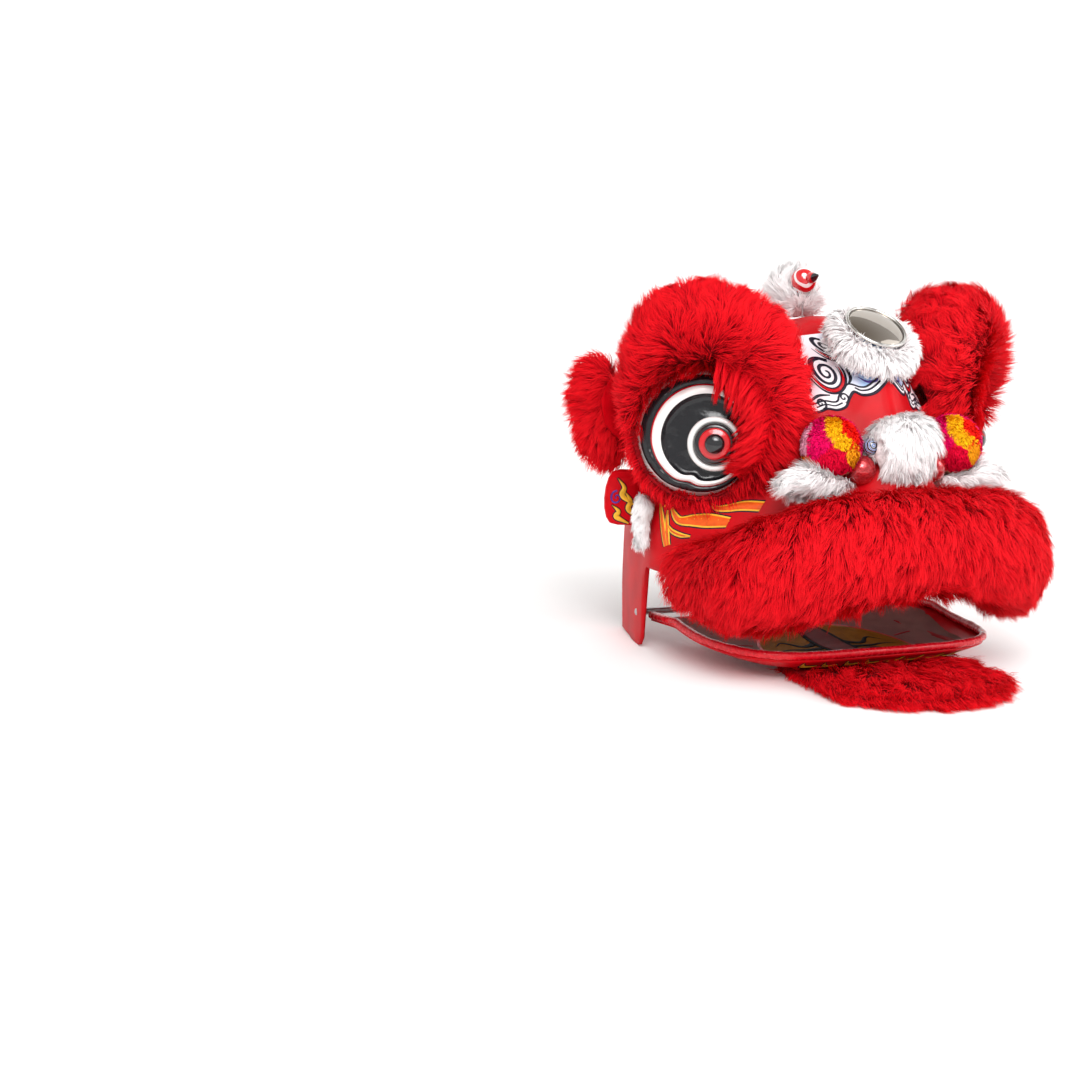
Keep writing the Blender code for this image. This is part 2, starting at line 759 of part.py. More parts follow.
def make_beard(parent, *tools):
    """A fan of fur from under the jaw's front, spread on the surface."""
    rings = []
    for i in range(BEARD_STATIONS + 1):
        share = -1 + 2 * i / BEARD_STATIONS
        reach = 1 - BEARD_FALL * share**2 - BEARD_CORNER_FALL * share**4
        x = BEARD_HALF_WIDTH * BEARD_ROOT_SHARE * share
        front = BEARD_BACK_Y + (BEARD_FRONT_Y + BEARD_LOCK - BEARD_BACK_Y) * reach
        ring = []
        for j in range(BEARD_COLUMNS):
            a = 2 * math.pi * j / BEARD_COLUMNS
            y = (front + BEARD_BACK_Y) / 2 - math.cos(a) * (BEARD_BACK_Y - front) / 2
            tall = BEARD_HEIGHT * (1 - BEARD_FLATTEN * abs(share) ** 3)
            z = max(0.0, math.sin(a)) ** 0.8 * tall
            step = BEARD_STEP if math.sin(a) > 1e-6 else 0.0
            spread = 1 + BEARD_SPREAD * max(0.0, math.cos(a))
            ring.append(Vector((x * spread, y, z + step)))
        rings.append(ring)

    def lean(p):
        away = Vector((p.x * 0.6, p.y - BEARD_BACK_Y, 0)).normalized()
        return away * 0.9

    body = ring_body(rings)
    raised = [(f, sum((body[0][i].z for i in f)) / len(f)) for f in body[1]]
    upper = [f for f, z in raised if z > 0.0015]
    under = [f for f, z in raised if z <= 0.0015]
    sign = 1 if signed_volume(*body) > 0 else -1
    points, faces = list(body[0]), list(under)
    for count, face in enumerate(upper):
        corners = [body[0][i] for i in face]
        normal = (corners[1] - corners[0]).cross(corners[-1] - corners[0]) * sign
        middle = sum(corners, Vector()) / len(corners)
        if normal.length > 1e-12:
            normal.normalize()
        size = BEARD_LOCK * (0.55 + 0.15 * (count * 7 % 4))
        lift = (normal + lean(middle)).normalized() * size
        tip = middle + lift
        tip.z = max(tip.z, 0.001)
        points.append(tip)
        faces += [(a, b, len(points) - 1) for a, b in zip(face, face[1:] + face[:1])]
    stretch = (BEARD_FRONT_Y - BEARD_BACK_Y) / (min(p.y for p in points) - BEARD_BACK_Y)
    for p in points:
        p.y = BEARD_BACK_Y + (p.y - BEARD_BACK_Y) * stretch
    beard = piece("beard_fur", points, faces, RED_FUR, parent)
    cut(beard, *tools)
    return beard


def eye_frame(side):
    out, up = math.radians(EYE_OUT_DEG), math.radians(EYE_UP_DEG)
    normal = (side * math.sin(out) * math.cos(up), -math.cos(out) * math.cos(up), math.sin(up))
    inner = (-side * math.cos(out), -math.sin(out), 0.0)
    return frame_at((side * EYE_X, EYE_Y, EYE_Z), normal, inner), side


def eye_point(side, angle_deg, radius, height):
    """A point in the eye's plane. The angle runs from the inner side upward."""
    frame, _ = eye_frame(side)
    a = math.radians(angle_deg)
    across, up = radius * math.cos(a), radius * math.sin(a)
    return frame @ Vector((across, up if side < 0 else -up, height))


def brow_rows():
    return looped_table(BROW_SECTIONS, 2)


def brow_rings(side, outward, columns=6):
    rings = []
    for angle, inner, outer, bulge in brow_rows():
        near, far = inner * BROW_REACH, outer * BROW_REACH - BROW_LOCK * 0.5
        middle, half = (near + far) / 2, (far - near) / 2
        high, low = bulge * BROW_BULGE - BROW_LOCK * 0.5, -BROW_BACK
        ring = []
        for j in range(columns):
            a = 2 * math.pi * (j + 0.5) / columns
            radius = middle + half * math.copysign(abs(math.cos(a)) ** 0.8, math.cos(a))
            swell = math.copysign(abs(math.sin(a)) ** 0.8, math.sin(a))
            rise = (high + low) / 2 + (high - low) / 2 * swell
            wide = middle + (radius - middle) * (1 + outward / half)
            ring.append(eye_point(side, angle, wide, rise + outward * math.sin(a)))
        rings.append(ring)
    return rings


def make_brow(side, name, parent, *tools):
    frame, _ = eye_frame(side)
    middle = frame @ Vector((0, 0, -0.02))

    def lean(p):
        away = (p - middle).normalized()
        return away * 0.35 + Vector((0, 0, -0.25))

    points, faces = with_locks(ring_body(brow_rings(side, 0.0), closed=True), BROW_LOCK, lean)
    brow = piece(name, points, faces, RED_FUR, parent)
    cut(brow, *tools, solver="MANIFOLD")
    return brow


def plate_rings(side, outward):
    """Rings of the formed eye plate: a level middle for the eye, falling to its edge."""
    rows = brow_rows()
    deep = []
    for r in rows:
        radius = (r[1] * BROW_REACH + EYE_PLATE_TUCK + outward) * 0.9
        deep.append(eye_point(side, r[0], radius, -EYE_PLATE_DEPTH))
    edge = [eye_point(side, r[0], r[1] * BROW_REACH + EYE_PLATE_TUCK + outward, 0.0) for r in rows]
    shoulder = []
    for r in rows:
        radius = (r[1] * BROW_REACH + EYE_PLATE_TUCK) * 0.82
        shoulder.append(eye_point(side, r[0], radius, EYE_PLATE_CROWN * 0.6 + outward))
    level = []
    for r in rows:
        radius = min(WHITE_RING_OUTER + 0.001, (r[1] * BROW_REACH + EYE_PLATE_TUCK) * 0.70)
        level.append(eye_point(side, r[0], radius, EYE_PLATE_CROWN + outward))
    return [deep, edge, shoulder, level]


def make_eye(side, ending, parent, shell_room):
    points, faces = ring_body(plate_rings(side, 0.0))
    plate = piece("eye_plate_" + ending, points, faces, BLACK_GLOSS, parent)
    cut(plate, shell_room)
    frame, _ = eye_frame(side)
    seat = EYE_PLATE_CROWN + GAP
    foot = frame @ Matrix.Translation((0, 0, seat))
    top = WHITE_RING_HEIGHT
    outline = [
        (WHITE_RING_INNER, 0),
        (WHITE_RING_OUTER, 0),
        (WHITE_RING_OUTER - 0.002, top * 0.7),
        ((WHITE_RING_OUTER + WHITE_RING_INNER) / 2, top),
        (WHITE_RING_INNER, top * 0.8),
    ]
    piece("eye_ring_" + ending, *turned_ring(outline, 16, foot), WHITE_GLOSS, parent)
    dome = [
        (0, 0),
        (BLACK_DOME_RADIUS, 0),
        (BLACK_DOME_RADIUS, BLACK_DOME_HEIGHT * 0.75),
        (BLACK_DOME_RADIUS * 0.86, BLACK_DOME_HEIGHT),
        (0, BLACK_DOME_HEIGHT),
    ]
    piece("eye_dome_" + ending, *turned(dome, 16, foot), BLACK_GLOSS, parent)
    mid = foot @ Matrix.Translation((0, 0, BLACK_DOME_HEIGHT + GAP))
    iris = [(0, 0), (IRIS_RADIUS, 0), (IRIS_RADIUS * 0.9, IRIS_HEIGHT), (0, IRIS_HEIGHT)]
    piece("eye_iris_" + ending, *turned(iris, 16, mid), RED_GLOSS, parent)
    tip = mid @ Matrix.Translation((0, 0, IRIS_HEIGHT + GAP))
    bead = [
        (0, 0),
        (BEAD_RADIUS, 0),
        (BEAD_RADIUS * 0.9, BEAD_HEIGHT * 0.5),
        (BEAD_RADIUS * 0.55, BEAD_HEIGHT * 0.88),
        (0, BEAD_HEIGHT),
    ]
    piece("eye_bead_" + ending, *turned(bead, 12, tip), BLACK_GLOSS, parent)
    return plate


def make_ear(side, ending, parent, hinge, shell_room):
    root = Vector((side * EAR_ROOT[0], EAR_ROOT[1], EAR_ROOT[2]))
    droop, back = math.radians(EAR_DROOP_DEG), math.radians(EAR_BACK_DEG)
    outward = Vector((side * math.cos(droop) * math.cos(back), math.sin(back), -math.sin(droop)))
    facing = Vector((side * 0.25, -1.0, 0.1))
    frame = frame_at(root, facing, outward)
    reach = EAR_REACH - EAR_LOCK
    rings = []
    stations, columns = 5, 8
    for i in range(stations):
        share = (i + 0.5) / stations
        tall = EAR_HALF_HEIGHT * math.sin(math.pi * (0.16 + 0.76 * share)) ** 0.7
        thick = EAR_HALF_THICK * (1 - 0.45 * share)
        ring = []
        for j in range(columns):
            a = 2 * math.pi * j / columns
            level = thick * math.sin(a) - EAR_HALF_THICK
            ring.append(frame @ Vector((EAR_FUR_START + reach * share, tall * math.cos(a), level)))
        rings.append(ring)

    def lean(p):
        return (p - root).normalized() * 0.9 + Vector((0, 0, -0.3))

    points, faces = with_locks(ring_body(rings), EAR_LOCK, lean)
    fur = piece("ear_fur_" + ending, points, faces, RED_FUR, hinge)
    room = cutter("leaf room " + ending, *leaf_body(frame, GAP, 2 * EAR_LOCK), hinge)
    cut(fur, room)
    piece("ear_leaf_" + ending, *leaf_body(frame), RED_PAINT, hinge)
    tilt = math.cos(droop) * math.cos(back)
    end = LEAF_START * tilt - EAR_PIN_RADIUS * (math.sin(droop) + math.sin(back)) - GAP
    pin_start = root - Vector((side * EAR_PIN_DEPTH, 0, 0))
    pin_end = root + Vector((side * end, 0, 0))
    pin = piece("ear_pin_" + ending, *rod_body(pin_start, pin_end, EAR_PIN_RADIUS), STEEL_WIRE, parent)
    cut(pin, shell_room, solver="MANIFOLD")
    return fur


def leaf_body(frame, outward=0.0, front=0.0):
    """A pointed leaf-shaped board, a little cupped. front is more room before its face."""
    rings = []
    stations = 6
    length = EAR_REACH * LEAF_SHARE
    for i in range(stations + 1):
        share = i / stations
        half = EAR_HALF_HEIGHT * LEAF_SHARE * math.sin(math.pi * (0.14 + 0.74 * share)) + outward
        along = LEAF_START - outward + (length + 2 * outward) * share
        cup = LEAF_CUP * math.sin(math.pi * share)
        ring = []
        for up, dip in ((-half, 0.0), (0.0, cup), (half, 0.0)):
            ring.append(Vector((along, up, -dip + LEAF_THICK / 2 + outward + front)))
        for up, dip in ((half, 0.0), (0.0, cup), (-half, 0.0)):
            ring.append(Vector((along, up, -dip - LEAF_THICK / 2 - outward)))
        rings.append([frame @ p for p in ring])
    return ring_body(rings)


def at_side(side, place):
    return Vector((side * place[0], place[1], place[2]))


def make_pompom(side, ending, parent, shell_room, pompom_room):
    """A ball of cut yarn on a short spring from the side of the nose bridge."""
    middle = at_side(side, POMPOM_CENTRE)
    body = with_locks(ball_body(middle, (POMPOM_RADIUS,) * 3, 6, 10), POMPOM_LOCK, lambda p: Vector())
    pompom = piece("pompom_" + ending, *body, POMPOM_YARN, parent)
    cut(pompom, shell_room)
    start = Vector((0.0, middle.y, middle.z))
    wire = rod_body(start, middle, SPRING_RADIUS)
    spring = piece("pompom_spring_" + ending, *wire, STEEL_WIRE, parent)
    cut(spring, shell_room, pompom_room, solver="MANIFOLD")
    cutter("spring room " + ending, *rod_body(start, middle, SPRING_RADIUS + GAP), parent)


def make_cheek(side, ending, parent, shell_room):
    """A strip of white fur up the back of the cheek, and the painted fin behind it."""
    middle = at_side(side, STRIP_CENTRE)

    def lean(p):
        return Vector((side * 0.2, 0.0, -0.7))

    body = with_locks(ball_body(middle, STRIP_HALF, 5, 6), STRIP_LOCK, lean)
    strip = piece("cheek_strip_" + ending, *body, WHITE_FUR, parent)
    cut(strip, shell_room, bpy.data.objects["brow room " + ending])
    rings = []
    stations = 8
    start, end = SHELL_HALF_WIDTH * 0.80, SHELL_HALF_WIDTH + FIN_REACH
    for i in range(stations + 1):
        turn = math.pi * (i / stations - 0.5)
        up = FIN_HALF_HEIGHT * math.sin(turn) * 0.98
        reach = start + (end - start) * (0.72 + 0.28 * math.cos(turn) ** 0.7)
        ring = []
        for x, back in ((start, 0.0), ((start + reach) / 2, 0.0), (reach, FIN_BOW)):
            ring.append(Vector((side * x, FIN_Y + back, FIN_Z + up)))
        for x, back in ((reach, FIN_BOW), ((start + reach) / 2, 0.0), (start, 0.0)):
            ring.append(Vector((side * x, FIN_Y + back + FIN_THICK, FIN_Z + up)))
        rings.append(ring)
    fin = piece("cheek_fin_" + ending, *ring_body(rings), FLAME_PAINT, parent)
    cut(fin, shell_room, solver="MANIFOLD")


def nostril_ball(middle, outward=0.0):
    return ball_body(middle, (NOSTRIL_RADIUS + outward,) * 3, 6, 10)


def knob_ball(middle, outward=0.0):
    return ball_body(middle, (KNOB_RADIUS + outward,) * 3, 4, 8)


def make_nose(parent, shell_room):
    """White fur over the nose, between two glossy nostrils, with the moustache under it."""
    rooms = []
    lip_room = cutter("lip room", *ring_body(lip_rings(LIP_LOCK * LIP_ROOM + GAP)), parent)
    for side, ending in ((-1, "left"), (1, "right")):
        nostril = at_side(side, NOSTRIL_CENTRE)
        knob = at_side(side, KNOB_CENTRE)
        room_a = cutter("nostril room " + ending, *nostril_ball(nostril, GAP), parent)
        room_b = cutter("knob room " + ending, *knob_ball(knob, GAP), parent)
        pompom = bpy.data.objects["pompom room " + ending]
        dome = piece("nostril_" + ending, *nostril_ball(nostril), RED_GLOSS, parent)
        cut(dome, shell_room, lip_room, pompom)
        bead = piece("nostril_knob_" + ending, *knob_ball(knob), WHITE_GLOSS, parent)
        cut(bead, shell_room, room_a, pompom)
        rooms += [room_a, room_b]
        middle = at_side(side, MOUSTACHE_CENTRE)

        def lean(p, side=side):
            return Vector((side * 0.9, -0.1, -0.1))

        body = with_locks(ball_body(middle, MOUSTACHE_HALF, 5, 6, "X"), MOUSTACHE_LOCK, lean)
        moustache = piece("moustache_" + ending, *body, WHITE_FUR, parent)
        brow_room = bpy.data.objects["brow room " + ending]
        cut(moustache, shell_room, lip_room, room_a, pompom, brow_room)

    def droop(p):
        return Vector((p.x * 4, -0.3, -0.6))

    body = with_locks(ball_body(NOSE_CENTRE, NOSE_HALF, 5, 8), NOSE_LOCK, droop)
    nose = piece("nose_fur", *body, WHITE_FUR, parent)
    cut(nose, shell_room, lip_room, *rooms)
    for ending in ("left", "right"):
        cut(nose, bpy.data.objects["pompom room " + ending], bpy.data.objects["spring room " + ending])


def make_mirror(parent, shell_room):
    """A domed mirror in its rim, on a ring of white fur over the top of the forehead."""
    tilt = math.radians(MIRROR_TILT_DEG)
    frame = frame_at(MIRROR_CENTRE, (0, -math.sin(tilt), math.cos(tilt)), (1, 0, 0))
    rim_at = MIRROR_RADIUS + GAP + MIRROR_RIM_RADIUS
    dome = [
        (0, -MIRROR_THICK),
        (MIRROR_RADIUS, -MIRROR_THICK),
        (MIRROR_RADIUS, 0),
        (MIRROR_RADIUS * 0.7, MIRROR_CROWN * 0.55),
        (MIRROR_RADIUS * 0.35, MIRROR_CROWN * 0.9),
        (0, MIRROR_CROWN),
    ]
    piece("mirror", *turned(dome, MIRROR_COLUMNS, frame), CHROME, parent)
    corners = [math.radians(a) for a in range(0, 360, 72)]
    wire = [
        (rim_at + MIRROR_RIM_RADIUS * math.cos(a), MIRROR_RIM_RADIUS * math.sin(a)) for a in corners
    ]
    piece("mirror_rim", *turned_ring(wire, MIRROR_COLUMNS, frame), CHROME, parent)
    outer = MIRROR_FUR_REACH - MIRROR_FUR_LOCK
    inner = rim_at - MIRROR_RIM_RADIUS
    rings = []
    for i in range(MIRROR_FUR_STATIONS):
        a = 2 * math.pi * i / MIRROR_FUR_STATIONS
        far = outer * (1 - MIRROR_FUR_FORWARD * math.sin(a))
        outline = (
            (inner, -MIRROR_THICK - GAP),
            (inner + 0.008, -MIRROR_THICK - GAP),
            (inner + (far - inner) * 0.55, -MIRROR_THICK - 0.0015),
            (far, -MIRROR_FUR_HALF_HEIGHT * 1.2),
            (far * 0.96, -MIRROR_FUR_HALF_HEIGHT * 2.6),
            (inner, -MIRROR_FUR_HALF_HEIGHT * 2.2),
        )
        rings.append([frame @ Vector((r * math.cos(a), r * math.sin(a), h)) for r, h in outline])
    body = ring_body(rings, closed=True)
    middle = frame @ Vector((0, 0, 0))
    columns = len(rings[0])
    soft = [face for n, face in enumerate(body[1]) if n % columns in (1, 2, 3)]
    plain = [face for n, face in enumerate(body[1]) if n % columns not in (1, 2, 3)]

    def lean(p):
        return (p - middle).normalized() * 0.9

    points, faces = with_locks((body[0], soft), MIRROR_FUR_LOCK, lean, signed_volume(*body))
    fur = piece("mirror_fur", points, faces + plain, WHITE_FUR, parent)
    cut(fur, shell_room)


def make_horn(parent, shell_room):
    """A painted bead and its pointed tip on a wire, in front of a tuft of white fur."""
    middle = Vector(HORN_BEAD_CENTRE)
    rise = math.radians(HORN_TIP_RISE_DEG)
    forward = Vector((0, -math.cos(rise), math.sin(rise)))
    frame = frame_at(middle, forward, (1, 0, 0))
    piece("horn_bead", *ball_body(middle, (HORN_BEAD_RADIUS,) * 3, 6, 12), RED_GLOSS, parent)
    room = cutter("bead room", *ball_body(middle, (HORN_BEAD_RADIUS + GAP,) * 3, 6, 12), parent)
    near = HORN_BEAD_RADIUS * 0.9
    tip = [
        (0, near),
        (HORN_TIP_RADIUS, near),
        (HORN_TIP_RADIUS, near + HORN_TIP_LENGTH * 0.4),
        (HORN_TIP_RADIUS * 0.5, near + HORN_TIP_LENGTH * 0.75),
        (0, near + HORN_TIP_LENGTH),
    ]
    cone = piece("horn_tip", *turned(tip, 10, frame), BLACK_GLOSS, parent)
    cut(cone, room)
    foot = Vector((0, middle.y - HORN_STEM_LEAN, SHELL_HEIGHT * 0.9))
    stem = piece("horn_stem", *rod_body(foot, middle, HORN_STEM_RADIUS), STEEL_WIRE, parent)
    cut(stem, shell_room, room, solver="MANIFOLD")
    stem_room = cutter("stem room", *rod_body(foot, middle, HORN_STEM_RADIUS + GAP), parent)

    def lean(p):
        return (p - middle).normalized() * 0.6 + Vector((0, 0.2, 0.3))

    body = with_locks(ball_body(HORN_FUR_CENTRE, HORN_FUR_HALF, 5, 7), HORN_FUR_LOCK, lean)
    fur = piece("horn_fur", *body, WHITE_FUR, parent)
    cut(fur, shell_room, room, stem_room)


def main():
    clear_scene()
    origin = empty("head_origin", (0, 0, 0))
    origin.location = (0, SHIFT_Y, 0)
    jaw = empty("jaw_hinge", (0, ROD_Y, ROD_Z), origin)

    shell_room = shell_keepout("shell room", origin, GAP)
    board_room = board_keepout("board room", origin, GAP, 0.0)
    under_board = board_keepout("under board", origin, GAP, SHELL_HEIGHT)
    far = 1.0
    below = cutter("below", *box_body((-far, -far, -far), (far, far, 0.0)), origin)
    behind = cutter("behind", *box_body((-far, REAR_RIM_Y, -far), (far, far, far)), origin)
    rod_room = cutter("rod room", *cross_rod(far, ROD_RADIUS + GAP), origin)
    make_shell(origin, (under_board, below, behind, rod_room))
    make_board(origin)
    piece("jaw_rod", *cross_rod(ROD_HALF_LENGTH, ROD_RADIUS), STEEL_WIRE, origin)
    make_lip(origin, shell_room, board_room)

    make_jaw(jaw)
    make_binding(jaw)
    make_beard(jaw, jaw_keepout("jaw above", jaw))

    for side, ending in ((-1, "left"), (1, "right")):
        plate_room = cutter("plate room " + ending, *ring_body(plate_rings(side, GAP)), origin)
        pompom_at = Vector((side * POMPOM_CENTRE[0], POMPOM_CENTRE[1], POMPOM_CENTRE[2]))
        keep = POMPOM_RADIUS + POMPOM_LOCK + GAP
        pompom_room = cutter("pompom room " + ending, *ball_body(pompom_at, (keep,) * 3, 7, 12), origin)
        make_brow(side, "brow_fur_" + ending, origin, shell_room, plate_room, pompom_room)
        cutter("brow room " + ending, *ring_body(brow_rings(side, BROW_LOCK + GAP), closed=True), origin)
        make_eye(side, ending, origin, shell_room)
        hinge = empty("ear_hinge_" + ending, (side * EAR_ROOT[0], EAR_ROOT[1], EAR_ROOT[2]), origin)
        make_ear(side, ending, origin, hinge, shell_room)
        make_pompom(side, ending, origin, shell_room, pompom_room)
        make_cheek(side, ending, origin, shell_room)
    make_nose(origin, shell_room)
    make_mirror(origin, shell_room)
    make_horn(origin, shell_room)


if __name__ == "__main__":
    main()
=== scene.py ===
"""Looks of the lion dance head: fur, gloss paint, formed eyes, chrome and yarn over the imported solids."""

import logging
import math
from collections.abc import Callable, Sequence
from dataclasses import dataclass
from enum import Enum
from functools import partial

import bpy
import numpy as np
from mathutils import Matrix, Vector
from mathutils.bvhtree import BVHTree
from mathutils.kdtree import KDTree


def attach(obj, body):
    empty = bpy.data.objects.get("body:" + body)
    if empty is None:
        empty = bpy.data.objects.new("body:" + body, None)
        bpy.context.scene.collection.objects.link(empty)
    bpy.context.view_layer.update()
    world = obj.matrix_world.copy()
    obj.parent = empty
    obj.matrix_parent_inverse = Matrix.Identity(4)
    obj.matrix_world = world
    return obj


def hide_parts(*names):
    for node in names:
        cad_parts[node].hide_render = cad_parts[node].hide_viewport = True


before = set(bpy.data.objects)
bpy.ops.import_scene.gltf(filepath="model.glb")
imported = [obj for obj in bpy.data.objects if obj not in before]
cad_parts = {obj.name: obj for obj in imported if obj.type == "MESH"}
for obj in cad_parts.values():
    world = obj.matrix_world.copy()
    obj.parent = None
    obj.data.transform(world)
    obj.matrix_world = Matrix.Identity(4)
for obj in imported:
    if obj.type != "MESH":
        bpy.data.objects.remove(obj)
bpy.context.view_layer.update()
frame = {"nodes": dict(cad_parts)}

log = logging.getLogger("lion_head")

# How far the head's own coordinates lie behind those of the frame
HEAD_Y = 0.0675
# How deep the edge of a stroke of paint dips into its surface, in metres
PAINT_DIP = 0.0002
# How near two points of a painted mesh are to count as one, in metres
PAINT_MERGE = 2e-6
# How far off a brush starts, and how high over the jaw's tray, in metres
BRUSH_REACH, BRUSH_HEIGHT = 1.0, 0.110
# How near the surface under the head the strands' tips and middles come, in metres
LOWEST_TIP, LOWEST_MIDDLE = 0.0008, 0.0012

Rows = Sequence[Sequence[float]]
Field = Callable[[np.ndarray], np.ndarray]
SIDES = ((-1, "left"), (1, "right"))


class Body(Enum):
    """The bodies that a piece can ride on."""

    HEAD = "head"
    JAW = "jaw"
    EAR_LEFT = "ear_left"
    EAR_RIGHT = "ear_right"


# Small tools


def unit(rows: np.ndarray) -> np.ndarray:
    """Vectors at length 1.

    Args:
        rows: one vector in each row.

    Returns:
        The same directions, each 1 long.
    """
    return rows / np.maximum(np.linalg.norm(rows, axis=1, keepdims=True), 1e-9)


def spline(rows: Rows, steps: int) -> np.ndarray:
    """A Catmull-Rom curve through rows of numbers.

    Args:
        rows: the rows that it passes through.
        steps: how many new rows there are for each given one.

    Returns:
        The rows on the curve, the last given one included.
    """
    given = np.array(rows, float)
    wide = np.vstack([2 * given[0] - given[1], given, 2 * given[-1] - given[-2]])
    out = []
    for i in range(len(given) - 1):
        p, q, r, s = wide[i : i + 4]
        for t in np.arange(steps) / steps:
            cubic = 2 * q + (r - p) * t + (2 * p - 5 * q + 4 * r - s) * t**2 + (3 * q - p - 3 * r + s) * t**3
            out.append(0.5 * cubic)
    out.append(given[-1])
    return np.array(out)


def looped(rows: Rows, steps: int) -> np.ndarray:
    """The same for rows that close on themselves, whose first column is an angle in degrees.

    Args:
        rows: the rows, in order of angle.
        steps: how many new rows there are for each given one.

    Returns:
        The rows on the curve, without a repeat of the first.
    """
    given = [list(row) for row in rows]
    before = [[row[0] - 360.0, *row[1:]] for row in given[-2:]]
    after = [[row[0] + 360.0, *row[1:]] for row in given[:3]]
    return spline(before + given + after, steps)[2 * steps : (2 + len(given)) * steps]


def clear_selection() -> None:
    """Deselects every object."""
    bpy.ops.object.select_all(action="DESELECT")


def activate(piece: bpy.types.Object) -> None:
    """Makes a piece the only selected and the active object.

    Args:
        piece: the piece.
    """
    clear_selection()
    piece.select_set(True)
    bpy.context.view_layer.objects.active = piece


def linked(name: str, data: bpy.types.ID) -> bpy.types.Object:
    """Puts data in the scene as an object.

    Args:
        name: the object's name.
        data: its mesh, camera or light.

    Returns:
        The object, at the origin.
    """
    piece = bpy.data.objects.new(name, data)
    bpy.context.collection.objects.link(piece)
    return piece


def new_piece(name: str, points: np.ndarray, faces: Sequence[Sequence[int]]) -> bpy.types.Object:
    """A mesh object from points and faces.

    Args:
        name: the piece's name.
        points: its points, in metres in the frame.
        faces: its faces.

    Returns:
        The object, at the origin.
    """
    mesh = bpy.data.meshes.new(name)
    mesh.from_pydata([tuple(map(float, p)) for p in points], [], [tuple(map(int, f)) for f in faces])
    return linked(name, mesh)


def grid_faces(rows: int, columns: int, ring: bool) -> list[tuple[int, int, int, int]]:
    """Quads between rows of points.

    Args:
        rows: how many rows there are.
        columns: how many points a row has.
        ring: whether a row's last point joins its first.

    Returns:
        The quads' corners.
    """
    faces = []
    for i in range(rows - 1):
        for j in range(columns if ring else columns - 1):
            k = (j + 1) % columns
            faces.append((i * columns + j, i * columns + k, (i + 1) * columns + k, (i + 1) * columns + j))
    return faces


def edit_mesh(piece: bpy.types.Object, *steps: Callable[[], object]) -> None:
    """Runs mesh operators on all of a piece and shades it smooth.

    Args:
        piece: the piece.
        steps: the operators, in order.
    """
    activate(piece)
    bpy.ops.object.mode_set(mode="EDIT")
    bpy.ops.mesh.select_all(action="SELECT")
    for step in steps:
        step()
    bpy.ops.object.mode_set(mode="OBJECT")
    bpy.ops.object.shade_smooth()


def merged(reach: float) -> Callable[[], object]:
    """The operator that merges doubles.

    Args:
        reach: how near two points are to count as one.

    Returns:
        The operator, for edit_mesh.
    """
    return partial(bpy.ops.mesh.remove_doubles, threshold=reach)


def tidy_mesh(piece: bpy.types.Object, merge: float = 1e-5) -> None:
    """Merges doubles, turns the faces outwards and shades the piece smooth.

    Args:
        piece: the piece.
        merge: how near two points are to count as one.
    """
    edit_mesh(piece, merged(merge), partial(bpy.ops.mesh.normals_make_consistent, inside=False))


def face_back(piece: bpy.types.Object, way: Vector) -> None:
    """Turns the faces of an open sheet against a direction.

    Args:
        piece: the sheet.
        way: the direction that it is looked at in.
    """
    for face in piece.data.polygons:
        if face.normal.dot(way) > 0:
            face.flip()


def in_order(piece: bpy.types.Object) -> None:
    """Sorts a mesh's points and faces, because Blender's spheres and spins order them anew in each run.

    Args:
        piece: the piece.
    """
    mesh = piece.data
    points = [tuple(v.co) for v in mesh.vertices]
    order = sorted(range(len(points)), key=points.__getitem__)
    rank = {old: new for new, old in enumerate(order)}
    faces = []
    for face in mesh.polygons:
        corners = [rank[i] for i in face.vertices]
        first = corners.index(min(corners))
        faces.append(corners[first:] + corners[:first])
    mesh.clear_geometry()
    mesh.from_pydata([points[i] for i in order], [], sorted(faces))
    activate(piece)
    bpy.ops.object.shade_smooth()


def apply_all(piece: bpy.types.Object) -> None:
    """Applies every modifier of a piece.

    Args:
        piece: the piece.
    """
    activate(piece)
    for step in list(piece.modifiers):
        bpy.ops.object.modifier_apply(modifier=step.name)


def spun(name: str, profile: Rows, place: Matrix, steps: int = 48) -> bpy.types.Object:
    """A piece turned round the Z of a place from rows of radius and height, as on a lathe.

    Args:
        name: the piece's name.
        profile: radius and height of each point, from one end of the axis to the other.
        place: where the piece's own axes lie.
        steps: how many flats its round has.

    Returns:
        The closed piece.
    """
    points = np.array([(radius, 0.0, height) for radius, height in profile])
    mesh = bpy.data.meshes.new(name)
    mesh.from_pydata([tuple(p) for p in points], [(i, i + 1) for i in range(len(points) - 1)], [])
    piece = linked(name, mesh)
    turn = partial(bpy.ops.mesh.spin, steps=steps, angle=2 * math.pi, center=(0, 0, 0), axis=(0, 0, 1))
    edit_mesh(piece, turn)
    tidy_mesh(piece)
    in_order(piece)
    piece.data.transform(place)
    return piece


def place_at(origin: Sequence[float], normal: Sequence[float], right: Sequence[float]) -> Matrix:
    """A place whose Z is a normal.

    Args:
        origin: its middle, in metres.
        normal: the direction that its Z takes.
        right: the direction that its X is nearest to.

    Returns:
        The matrix from the place's own axes to the frame's.
    """
    z = Vector(normal).normalized()
    x = (Vector(right) - z * Vector(right).dot(z)).normalized()
    turn = Matrix((x, z.cross(x), z)).transposed()
    return Matrix.Translation(Vector(origin)) @ turn.to_4x4()


def tree_of(*pieces: bpy.types.Object) -> BVHTree:
    """A search tree over the faces of some pieces.

    Args:
        pieces: the pieces, all at the origin.

    Returns:
        The tree.
    """
    points: list[Vector] = []
    faces: list[tuple[int, ...]] = []
    for piece in pieces:
        start = len(points)
        points += [v.co.copy() for v in piece.data.vertices]
        faces += [tuple(start + i for i in f.vertices) for f in piece.data.polygons]
    return BVHTree.FromPolygons(points, faces)


# Finishes


